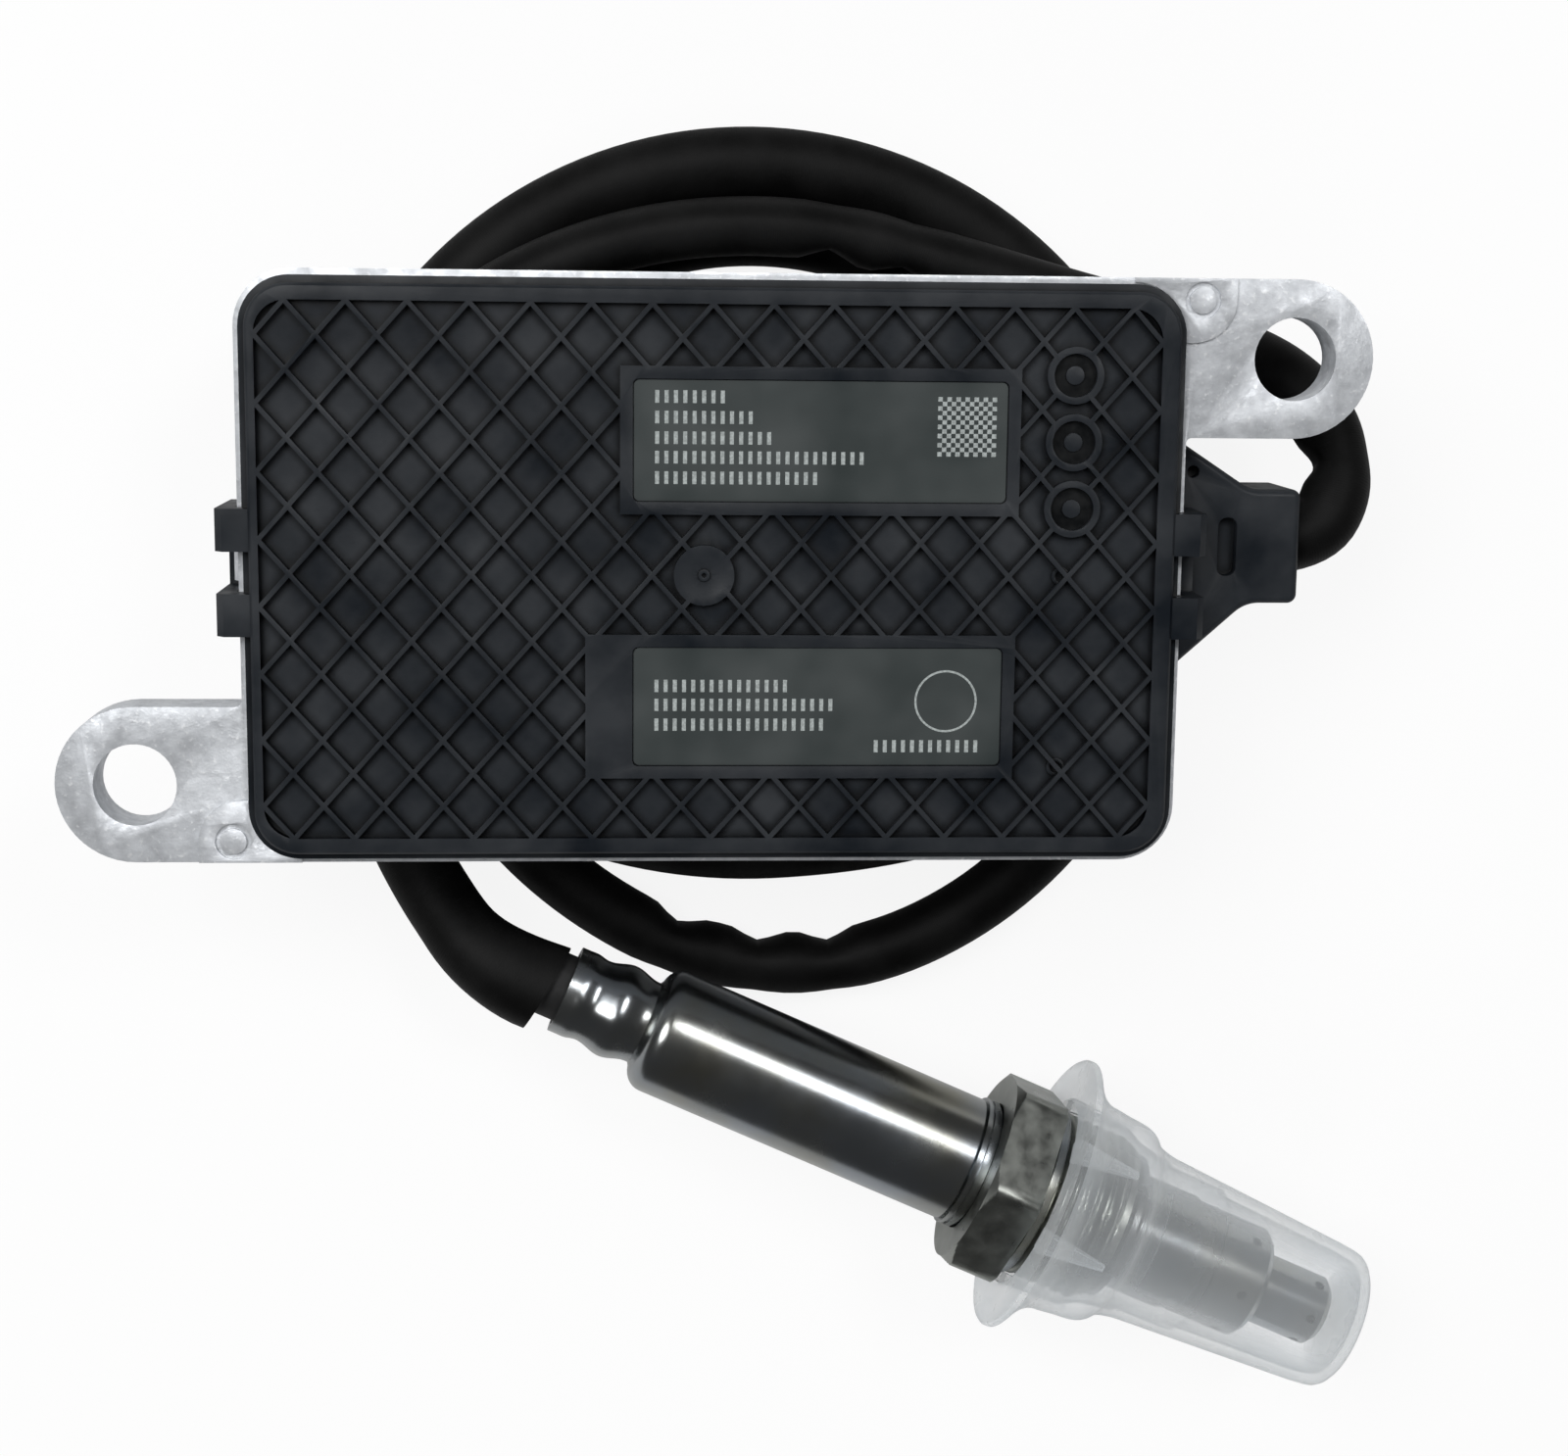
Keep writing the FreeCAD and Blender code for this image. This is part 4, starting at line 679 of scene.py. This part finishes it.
def turned_copies(name, source, count, start, material):
    """Copies of a mesh set round the probe's axis by Geometry Nodes, in one mesh."""
    item = new_object(name, source)
    group, given, keys = new_group("ring_pattern", {
        "Piece": "Geometry", "Count": "Int", "Start angle": "Float", "Finish": "Material"},
        "Ring")
    points = add_node(group, "GeometryNodeMeshLine", None, {
        "Count": given.outputs["Count"], "Offset": (0, 0, 0)})
    index = add_node(group, "GeometryNodeInputIndex")
    share = calculated(group, "DIVIDE", index.outputs[0], given.outputs["Count"])
    angle = calculated(group, "MULTIPLY_ADD", share, 2 * math.pi, given.outputs["Start angle"])
    turn = add_node(group, "ShaderNodeCombineXYZ", None, {"X": angle})
    copies = add_node(group, "GeometryNodeInstanceOnPoints", None, {
        "Points": points.outputs["Mesh"], "Instance": given.outputs["Piece"],
        "Rotation": turn.outputs[0]})
    finish_group(item, group, given, copies, "Ring", keys,
                 {"Count": count, "Start angle": start, "Finish": material})
    item.data.transform(probe_frame())
    return item


def lathe(work, profile, steps, place, start=0.0, form=None):
    """Turns a closed half section about the local X axis, in millimetres.

    A form function may change the radius of a point by its turn about the axis.
    """
    rings = []
    for step in range(steps):
        turn = start + 2 * math.pi * step / steps
        ring = []
        for x, r in profile:
            reach = form(x, r, turn) if form else r
            ring.append(work.verts.new(place @ (Vector(
                (x, reach * math.cos(turn), reach * math.sin(turn))) * MM)))
        rings.append(ring)
    count = len(profile)
    for step in range(steps):
        ring, other = rings[step], rings[(step + 1) % steps]
        for index in range(count):
            after = (index + 1) % count
            work.faces.new((ring[index], ring[after], other[after], other[index]))
    bmesh.ops.remove_doubles(work, verts=work.verts, dist=1e-7)
    bmesh.ops.recalc_face_normals(work, faces=work.faces)


def rounded_profile(points, radii, steps=5):
    """Replaces each corner that has a radius with a few points of an arc-like curve."""
    result = []
    count = len(points)
    for index, point in enumerate(points):
        radius = radii.get(index, 0)
        here = Vector(point)
        before, after = Vector(points[index - 1]), Vector(points[(index + 1) % count])
        if not radius:
            result.append(point)
            continue
        reach_in = min(radius, (here - before).length * 0.49)
        reach_out = min(radius, (after - here).length * 0.49)
        start = here + (before - here).normalized() * reach_in
        end = here + (after - here).normalized() * reach_out
        for step in range(steps + 1):
            t = step / steps
            spot = start * (1 - t) ** 2 + here * 2 * t * (1 - t) + end * t ** 2
            result.append((spot.x, spot.y))
    return result


def bridged(work, near, far):
    """A closed block between two rings of equal count, given as places."""
    near = [work.verts.new(place) for place in near]
    far = [work.verts.new(place) for place in far]
    work.faces.new(near)
    work.faces.new(list(reversed(far)))
    for index in range(len(near)):
        after = (index + 1) % len(near)
        work.faces.new((near[index], far[index], far[after], near[after]))
    bmesh.ops.recalc_face_normals(work, faces=work.faces)


def flat_ring(work, middle, inner, outer, half, steps):
    """A ring that lies flat round a place; radii and half height in millimetres."""
    profile = [(-half, inner), (-half, outer), (half, outer), (half, inner)]
    lathe(work, profile, steps,
          Matrix.Translation(middle) @ Matrix.Rotation(math.radians(-90), 4, "Y"))


# Probe

def sleeve_form(x, r, turn):
    """Crimping presses shallow flats round the neck of the sleeve."""
    share = ease(x, 0.6, 2.5) * (1 - ease(x, SLEEVE_START - 1.2, SLEEVE_START - 0.2))
    return r + CRIMP_DEPTH * share * math.cos(CRIMP_FLATS * turn)


def nut_form(x, r, turn):
    """Hexagon with turned corners, then a right-hand screw thread."""
    if r <= NUT_BORE / 2 + 0.5:
        return r
    if NUT_START < x <= NUT_END:
        sector = (math.degrees(turn) - NUT_TURN) % 60 - 30
        return min(r, NUT_FLATS / 2 / math.cos(math.radians(sector)))
    if THREAD_START < x < THREAD_END:
        phase = ((x - THREAD_START) / THREAD_PITCH - turn / (2 * math.pi)) % 1.0
        flank = min(1.0, max(0.0, (abs(phase - 0.5) - 0.07) / 0.34))
        fade = ease(x, THREAD_START + 0.8, THREAD_START + 1.8) * (
            1 - ease(x, THREAD_END - 1.0, THREAD_END))
        return r - THREAD_DEPTH * (1 - flank) * fade
    return r


def sleeve_profile():
    outer, wall = SLEEVE_DIAMETER / 2, SLEEVE_WALL
    neck, waist, bulge = NECK_DIAMETER / 2, NECK_WAIST / 2, BULGE_DIAMETER / 2
    points = [(0.0, neck - wall), (0.0, neck)]
    for x in evenly(1.0, SLEEVE_START, 30):
        ripple = (1 - math.cos(2 * math.pi * (x - CRIMP_MIDDLE) / CRIMP_PITCH)) / 2
        settle = ease(x, 1.0, CRIMP_MIDDLE)
        points.append((x, neck + (waist - neck + (bulge - waist) * ripple) * settle))
    groove = points[-1][1]
    shoulder = 2.3
    for index in range(1, 9):
        lean = math.pi / 2 * index / 8
        points.append((SLEEVE_START + 0.25 + shoulder * (1 - math.cos(lean)),
                       groove + (outer - groove) * math.sin(lean)))
    points += [(x, outer) for x in evenly(SLEEVE_START + 4, SLEEVE_END - 0.3, 3)]
    points += [(SLEEVE_END, outer - 0.25), (SLEEVE_END, outer - wall),
               (SLEEVE_START + 3, outer - wall), (SLEEVE_START + 0.8, neck - wall)]
    return points


def nut_profile():
    bore, washer = NUT_BORE / 2, WASHER_DIAMETER / 2
    face = NUT_FLATS / 2 + NUT_FACE_OVER
    points = [(NUT_START, bore), (NUT_START, face)]
    for x in evenly(NUT_START + 0.05, NUT_START + NUT_CHAMFER, 8):
        points.append((x, face + (x - NUT_START) / NUT_CHAMFER * (NUT_CORNERS / 2 - face)))
    points += [(NUT_END - 0.25, NUT_CORNERS / 2), (NUT_END, NUT_CORNERS / 2 - 0.25),
               (NUT_END + 0.01, washer - 0.3), (NUT_END + 0.3, washer),
               (NUT_END + 0.8, washer), (THREAD_START, washer - 0.6),
               (THREAD_START + 0.02, THREAD_DIAMETER / 2 - 0.6),
               (THREAD_START + 0.6, THREAD_DIAMETER / 2)]
    points += [(x, THREAD_DIAMETER / 2) for x in evenly(THREAD_START + 0.8, THREAD_END - 0.8, 60)]
    points += [(THREAD_END, THREAD_DIAMETER / 2 - 0.8), (THREAD_END, bore)]
    return points


def washer_profile():
    """The bright ring pressed on under the hexagon."""
    outer = WASHER_DIAMETER / 2 + 0.08
    return [(NUT_END + 0.12, outer - 1.0), (NUT_END + 0.12, outer - 0.2), (NUT_END + 0.32, outer),
            (THREAD_START - 0.2, outer), (THREAD_START + 0.06, outer - 0.3),
            (THREAD_START + 0.06, outer - 1.0)]


def cap_profile():
    wall = CAP_WALL
    flange, mouth, barrel, tip = CAP_FLANGE / 2, CAP_MOUTH / 2, CAP_BARREL / 2, CAP_TIP / 2
    outside = [(CAP_START, flange - 0.2), (CAP_START + 0.25, flange), (CAP_START + 0.7, flange)]
    outside += [(CAP_START + 0.9 + 4.6 * share,
                 mouth + (flange - 0.3 - mouth) * (1 - share) ** CAP_FLARE)
                for share in evenly(0.0, 1.0, 10)]
    outside += rounded_profile([(CAP_SHOULDER - 3.0, mouth - 0.25), (CAP_SHOULDER, mouth - 0.5),
                                (CAP_SHOULDER + 1.2, barrel + 0.6), (CAP_STEP + 1.0, barrel),
                                (CAP_END - 4.0, tip + 0.1), (CAP_END, tip - 0.3),
                                (CAP_END, 0.0)], {1: 1.6, 2: 1.0, 3: 1.0, 5: 2.4})
    inside = [(CAP_END - wall, 0.0)] + rounded_profile(
        [(CAP_END - wall, tip - 2.4), (CAP_END - wall, tip - wall - 0.3),
         (CAP_END - 4.0, tip + 0.1 - wall), (CAP_STEP + 8.2, barrel - 0.6 - wall),
         (CAP_STEP + 8.0, barrel - wall), (CAP_STEP + 0.8, barrel - wall + 0.1),
         (CAP_STEP + 0.6, barrel - wall + 0.5), (CAP_SHOULDER - 0.8, mouth - 1.4 - wall),
         (CAP_SHOULDER - 3.0, mouth - 0.3 - wall), (CAP_START, mouth - wall)], {1: 1.6})[1:-1]
    return outside + inside + [(CAP_START, mouth - wall)]


def turned(name, profile, steps, sharp, material, form=None):
    """A piece turned about the probe's axis; edges above the sharp angle stay crisp."""
    start = math.radians(NUT_TURN) if form else 0.0
    mesh = mesh_from(name, lambda work: lathe(work, profile, steps, probe_frame(), start, form))
    smooth(mesh, math.radians(sharp))
    return new_object(name, mesh, material)


class SENSOR_OT_probe(bpy.types.Operator):
    """Crimped sleeve and fixing nut with its chamfered hexagon and screw thread"""
    bl_idname = "sensor.probe"
    bl_label = "Probe"

    def execute(self, context):
        sleeve = turned("crimped_sleeve", sleeve_profile(), 144, 28, material_of("stainless"),
                        sleeve_form)
        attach(sleeve, "sensor")
        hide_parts("protective_sleeve")
        nut = turned("threaded_nut", nut_profile(), 144, 28, material_of("nut_steel"), nut_form)
        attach(nut, "nut")
        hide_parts("fixing_nut")
        washer = turned("seat_washer", washer_profile(), 96, 28, material_of("stainless"))
        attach(washer, "nut")
        return {"FINISHED"}


class SENSOR_OT_cap(bpy.types.Operator):
    """Milky push-on cap with its flared flange and inner ribs"""
    bl_idname = "sensor.cap"
    bl_label = "Cap"

    def execute(self, context):
        cap = turned("push_on_cap", cap_profile(), 96, 40, material_of("cap_polyethylene"))
        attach(cap, "cap")
        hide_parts("protective_cap")
        ribs = turned_copies("cap_ribs", mesh_from("cap_rib", self.rib), CAP_RIBS,
                             math.radians(CAP_RIB_START), material_of("cap_polyethylene"))
        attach(ribs, "cap")
        return {"FINISHED"}

    def rib(self, work):
        """A wedge that stands wide at the flange and runs out towards the shoulder."""
        inner = CAP_MOUTH / 2 - CAP_WALL
        thread = THREAD_DIAMETER / 2
        ends = ((CAP_START + 0.3, thread + 0.15, inner + 0.3, 1.3),
                (CAP_SHOULDER - 2.0, thread + 0.9, inner, 0.35))
        near, far = ([Vector((x, side * half, r)) * MM
                      for side, r in ((-1, low), (1, low), (1, high), (-1, high))]
                     for x, low, high, half in ends)
        bridged(work, near, far)


# Control unit

class SENSOR_OT_control_unit(bpy.types.Operator):
    """Casting, cover and outlet with the soft edges that moulding and casting leave"""
    bl_idname = "sensor.control_unit"
    bl_label = "Control unit"

    def execute(self, context):
        for node, slot_name in (("housing_casting", "cast_aluminium"),
                                ("cover", "cover_plastic"),
                                ("cable_outlet", "cover_plastic"),
                                ("connector_header", "connector_plastic")):
            item = softened(node, "rounded_" + node, EDGE_ROUNDING[node] * MM)
            item.data.materials.clear()
            item.data.materials.append(material_of(slot_name))
            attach(item, "sensor")
            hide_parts(node)
        return {"FINISHED"}


class SENSOR_OT_markings(bpy.types.Operator):
    """Plain grey marking plates with generic laser-marked bars, square and ring"""
    bl_idname = "sensor.markings"
    bl_label = "Marking plates"

    def execute(self, context):
        for name, middle in (("upper_plate", UPPER_LABEL), ("lower_plate", LOWER_LABEL)):
            plate = new_object(name, mesh_from(name, lambda work: self.plate(work, middle * MM)),
                               shared(marking_plate))
            smooth(plate.data)
            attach(plate, "sensor")
        bars = [place for x, y, count in MARK_ROWS for place in self.row(x, y, count)]
        marks = (stamped("marked_bars", bars, BAR_SIZE, shared(laser_mark)),
                 stamped("marked_square", self.chequer(), CELL_SIZE, shared(laser_mark)),
                 new_object("marked_ring", mesh_from("marked_ring", self.ring),
                            shared(laser_mark)))
        # Near-black floors in the round recesses: painted shade and painted reflection
        floors = new_object("dial_floors", mesh_from("dial_floors", self.dial_floors),
                            shared(recess_shade_nylon))
        for mark in marks + (floors,):
            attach(mark, "sensor")
        return {"FINISHED"}

    def face_level(self):
        return node_box("cover")[1].z - (LABEL_RECESS - 0.05) * MM

    def row(self, x, y, count):
        """Places of equal upright bars in one row."""
        return [((x + BAR_PITCH * index) * MM, y * MM, self.face_level())
                for index in range(count)]

    def chequer(self):
        """Every other cell of a plain square grid."""
        cell = CELL_SIZE[0]
        return [(SQUARE_PLACE[0] * MM + column * cell, SQUARE_PLACE[1] * MM + row * cell,
                 self.face_level())
                for column in range(SQUARE_CELLS) for row in range(SQUARE_CELLS)
                if (column + row) % 2 == 0]

    def dial_floors(self, work):
        """The polished floors of the three round recesses, round their small bosses, painted near black as painted
        shade and painted reflection.
        """
        level = node_box("cover")[1].z - DIAL_DEPTH * MM
        for y in DIAL_PLACES:
            flat_ring(work, (DIAL_ACROSS * MM, y * MM, level), DIAL_BOSS / 2,
                      DIAL_DIAMETER / 2, 0.02, 48)

    def ring(self, work):
        """A plain thin ring, square in section."""
        middle = (RING_PLACE[0] * MM, RING_PLACE[1] * MM, self.face_level())
        outer = RING_DIAMETER / 2
        flat_ring(work, middle, outer - RING_LINE, outer, 0.015, 64)

    def plate(self, work, middle):
        """A thin plate on the floor of the label recess."""
        floor = node_box("cover")[1].z - LABEL_RECESS * MM
        corner = PLATE_CORNER * MM
        reach_x = (LABEL_LENGTH / 2 - LABEL_FRAME - 0.1) * MM - corner
        reach_y = (LABEL_WIDTH / 2 - LABEL_FRAME - 0.1) * MM - corner
        middle_x = (LABEL_LEFT + LABEL_LENGTH / 2) * MM
        rim = []
        for side_x, side_y, begin in ((1, -1, -90), (1, 1, 0), (-1, 1, 90), (-1, -1, 180)):
            for turn in evenly(math.radians(begin), math.radians(begin + 90), 4):
                rim.append((middle_x + side_x * reach_x + corner * math.cos(turn),
                            middle + side_y * reach_y + corner * math.sin(turn)))
        bridged(work, [(x, y, floor + 0.04 * MM) for x, y in rim],
                [(x, y, floor - 0.05 * MM) for x, y in rim])


# Cable

def coil_route():
    """Turns of the cable: one upper oval, then a small and a large lower round."""
    settings = cable_settings()
    hose = settings.diameter
    ground = node_box("cable_coil")[0].z + hose / 2
    route = []
    # The curve runs inside its control points, so they stand out by this much
    swell = 1 / math.cos(math.radians(COIL_STEP / 2)) ** 2
    for step in range(COIL_POINTS):
        angle = COIL_START + COIL_STEP * step
        drop = ease(angle, *SHRINK_ANGLES)
        widen = ease(angle, *WIDEN_ANGLES)
        middle = Vector(UPPER_MIDDLE).lerp(Vector(LOWER_MIDDLE), drop)
        lower = settings.inner_radius + (settings.outer_radius - settings.inner_radius) * widen
        along = settings.upper_length + (lower - settings.upper_length) * drop
        across = settings.upper_width + (lower - settings.upper_width) * drop
        level = ground + hose * (1 - ease(angle, *SINK_ANGLES))
        turn = math.radians(angle)
        route.append((middle.x + along * swell * math.cos(turn),
                      middle.y + across * swell * math.sin(turn), level))
    return route


def cable_route():
    """Control points from the outlet, round the turns and to the sleeve's mouth."""
    place = probe_frame()
    ends = [tuple(place @ Vector((-x * MM, -y * MM, 0)))
            for x, y in ((HOSE_END + HOSE_LAST, HOSE_ASIDE + HOSE_BOW), (HOSE_END, HOSE_ASIDE))]
    return LEAD_ROUTE + coil_route() + TAIL_ROUTE + ends


def sampled_spline(points, resolution):
    """Points along a smooth NURBS curve with the route as its control points."""
    curve = bpy.data.curves.new("cable_line", "CURVE")
    curve.dimensions = "3D"
    curve.resolution_u = resolution
    spline = curve.splines.new("NURBS")
    spline.points.add(len(points) - 1)
    for point, place in zip(spline.points, points):
        point.co = (*place, 1.0)
    spline.order_u = 3
    spline.use_endpoint_u = True
    holder = new_object("cable_line", curve)
    mesh = evaluated_mesh(holder)
    path = [vertex.co.copy() for vertex in mesh.vertices]
    bpy.data.objects.remove(holder)
    bpy.data.meshes.remove(mesh)
    return path


def hose_section(share):
    """Width and height of the soft hose, as parts of its size, by share of its length."""
    for (start, *before), (end, *after) in zip(HOSE_SECTIONS, HOSE_SECTIONS[1:]):
        if share <= end:
            return [a + (b - a) * ease(share, start, end) for a, b in zip(before, after)]
    return HOSE_SECTIONS[-1][1:]


def hose_mesh(work, path, radius, sides=32):
    """A tube along the path: flattened where it lies, buckled where it kinks."""
    uv = work.loops.layers.uv.new("path")
    count = len(path)
    length = [0.0]
    for before, after in zip(path, path[1:]):
        length.append(length[-1] + (after - before).length)
    depth = cable_settings().buckle
    kinks = [min(range(count), key=lambda index: (path[index] - Vector(place)).length)
             for place in BUCKLES]
    up = Vector((0, 0, 1))
    rings = []
    for index, spot in enumerate(path):
        ahead = path[min(index + 1, count - 1)]
        behind = path[max(index - 1, 0)]
        heading = (ahead - behind).normalized()
        normal = (up - heading * heading.z).normalized()
        side = heading.cross(normal)
        width, height = hose_section(length[index] / length[-1])
        lean = math.tan(math.radians(HOSE_SLANT)) * (
            1 - ease(length[-1] - length[index], 0.0, HOSE_LAST * MM))
        ring = []
        for step in range(sides):
            turn = 2 * math.pi * step / sides
            cave = 0.0
            for kink in kinks:
                away = (length[index] - length[kink]) / BUCKLE_LENGTH
                lobe = 0.12 + 0.88 * max(0.0, -math.cos(turn)) ** 2
                cave += depth * lobe * math.exp(-away * away)
            out = side * (radius * width - cave) * math.cos(turn) + normal * (
                radius * height - cave) * math.sin(turn)
            ring.append(work.verts.new(spot + out - heading * (lean * out.dot(side))))
        rings.append(ring)
    for index in range(count - 1):
        for step in range(sides):
            after = (step + 1) % sides
            face = work.faces.new((rings[index][step], rings[index][after],
                                   rings[index + 1][after], rings[index + 1][step]))
            corners = ((index, step), (index, step + 1), (index + 1, step + 1), (index + 1, step))
            for loop, (row, column) in zip(face.loops, corners):
                loop[uv].uv = (length[row] / RIB_PITCH, column / sides)
    work.faces.new(rings[0])
    work.faces.new(list(reversed(rings[-1])))
    bmesh.ops.recalc_face_normals(work, faces=work.faces)


class SENSOR_OT_cable(bpy.types.Operator):
    """Hose-sheathed cable from the control unit, round its loops and to the probe"""
    bl_idname = "sensor.cable"
    bl_label = "Cable"

    def execute(self, context):
        settings = cable_settings()
        path = sampled_spline(cable_route(), 10)
        radius = settings.diameter / 2
        mesh = mesh_from("hose_cable", lambda work: hose_mesh(work, path, radius))
        smooth(mesh, math.radians(60))
        cable = new_object("hose_cable", mesh, material_of("cable_hose"))
        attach(cable, "sensor")
        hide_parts("cable_lead", "cable_coil", "cable_tail")
        return {"FINISHED"}


class SENSOR_OT_materials(bpy.types.Operator):
    """Gives every solid that stays its own finish"""
    bl_idname = "sensor.materials"
    bl_label = "Finishes"

    def execute(self, context):
        slots = {part["node"]: part["material_slot"] for part in frame["record"]["subparts"]}
        for name, item in frame["nodes"].items():
            material = material_of(slots[name])
            if not item.data.materials:
                item.data.materials.append(material)
            for index in range(len(item.data.materials)):
                item.data.materials[index] = material
        return {"FINISHED"}


def seen_rays(tree):
    """Light Path, and 1 for rays that the camera sends straight or through the cap."""
    rays = add_node(tree, "ShaderNodeLightPath")
    return rays, calculated(tree, "MAXIMUM", rays.outputs["Is Camera Ray"],
                            rays.outputs["Is Transmission Ray"])


def floor_paint():
    """Matt white studio floor; the camera sees it almost shadowless, as in a cut-out."""
    colour = linear(stage_settings().floor_hex)
    material, tree, shader = new_material("floor_paint", colour, 0.9)
    rays, seen = seen_rays(tree)
    glow = add_node(tree, "ShaderNodeEmission", None, {"Color": WHITE, "Strength": 1.0})
    share = calculated(tree, "MULTIPLY", seen, FLOOR_GLOW)
    dim = spread(tree, rays.outputs["Is Glossy Ray"], 0, 1, 1.0, FLOOR_MIRRORED)
    shade = add_node(tree, "ShaderNodeVectorMath", {"operation": "SCALE"}, {
        0: colour[:3], "Scale": dim})
    tree.links.new(shade.outputs[0], shader.inputs["Base Color"])
    mix = add_node(tree, "ShaderNodeMixShader", None, {
        0: share, 1: shader.outputs[0], 2: glow.outputs[0]})
    tree.links.new(mix.outputs[0], tree.nodes["Material Output"].inputs["Surface"])
    return material


class SENSOR_OT_stage(bpy.types.Operator):
    """Pale floor, soft lamps, white surroundings and the photograph's camera"""
    bl_idname = "sensor.stage"
    bl_label = "Stage"

    def execute(self, context):
        ground = CAD_BOX[0][2]
        floor = new_object("floor", mesh_from("floor", lambda work: bmesh.ops.create_grid(
            work, x_segments=1, y_segments=1, size=FLOOR_REACH,
            matrix=Matrix.Translation((0, 0, ground)))), floor_paint())
        for lamp in LAMPS:
            self.light(*lamp)
        self.world()
        self.camera(context)
        context.scene.view_settings.view_transform = "Standard"
        return {"FINISHED"}

    def light(self, name, place, size, power, mirrored):
        lamp = bpy.data.lights.new(name, "AREA")
        lamp.shape = "DISK"
        lamp.size = size
        lamp.energy = power
        holder = new_object(name, lamp)
        holder.location = place
        holder.visible_glossy = mirrored
        aim = Vector(LAMP_AIM) - Vector(place)
        holder.rotation_euler = aim.to_track_quat("-Z", "Y").to_euler()

    def world(self):
        world = bpy.data.worlds.new("white_room")
        world.use_nodes = True
        tree = world.node_tree
        background = tree.nodes["Background"]
        rays, seen = seen_rays(tree)
        lit = spread(tree, seen, 0, 1, ROOM_LIGHT, 1.0)
        mirrored = spread(tree, rays.outputs["Is Glossy Ray"], 0, 1, 1.0, ROOM_MIRRORED)
        strength = calculated(tree, "MULTIPLY", lit, mirrored)
        background.inputs["Color"].default_value = WHITE
        tree.links.new(strength, background.inputs["Strength"])
        bpy.context.scene.world = world

    def camera(self, context):
        settings = stage_settings()
        camera = bpy.data.cameras.new("photo_camera")
        camera.sensor_width = 36.0
        camera.lens = settings.focal_length
        camera.clip_start = 0.01
        holder = new_object("photo_camera", camera)
        holder.location = settings.camera_place
        holder.rotation_euler = settings.camera_turn
        context.scene.camera = holder


class SENSOR_PT_panel(bpy.types.Panel):
    """Lists the pieces and their settings"""
    bl_idname = "SENSOR_PT_panel"
    bl_label = "Nitrogen oxide sensor"
    bl_space_type = "VIEW_3D"
    bl_region_type = "UI"
    bl_category = "Sensor"

    def draw(self, context):
        layout = self.layout
        for group in (cable_settings(), finish(), stage_settings()):
            for name in group.__annotations__:
                layout.prop(group, name)
        for operator in OPERATORS:
            layout.operator(operator.bl_idname)


OPERATORS = (SENSOR_OT_materials, SENSOR_OT_control_unit, SENSOR_OT_markings, SENSOR_OT_probe,
             SENSOR_OT_cap, SENSOR_OT_cable, SENSOR_OT_stage)
SETTINGS = (CableSettings, FinishSettings, StageSettings)


def register():
    for item in SETTINGS + OPERATORS + (SENSOR_PT_panel,):
        bpy.utils.register_class(item)
    bpy.types.Scene.sensor_cable = bpy.props.PointerProperty(type=CableSettings)
    bpy.types.Scene.sensor_finish = bpy.props.PointerProperty(type=FinishSettings)
    bpy.types.Scene.sensor_stage = bpy.props.PointerProperty(type=StageSettings)


def unregister():
    del bpy.types.Scene.sensor_cable
    del bpy.types.Scene.sensor_finish
    del bpy.types.Scene.sensor_stage
    for item in reversed(SETTINGS + OPERATORS + (SENSOR_PT_panel,)):
        bpy.utils.unregister_class(item)


def main():
    register()
    bpy.ops.sensor.materials()
    bpy.ops.sensor.control_unit()
    bpy.ops.sensor.markings()
    bpy.ops.sensor.probe()
    bpy.ops.sensor.cap()
    bpy.ops.sensor.cable()
    bpy.ops.sensor.stage()


if __name__ == "__main__":
    main()
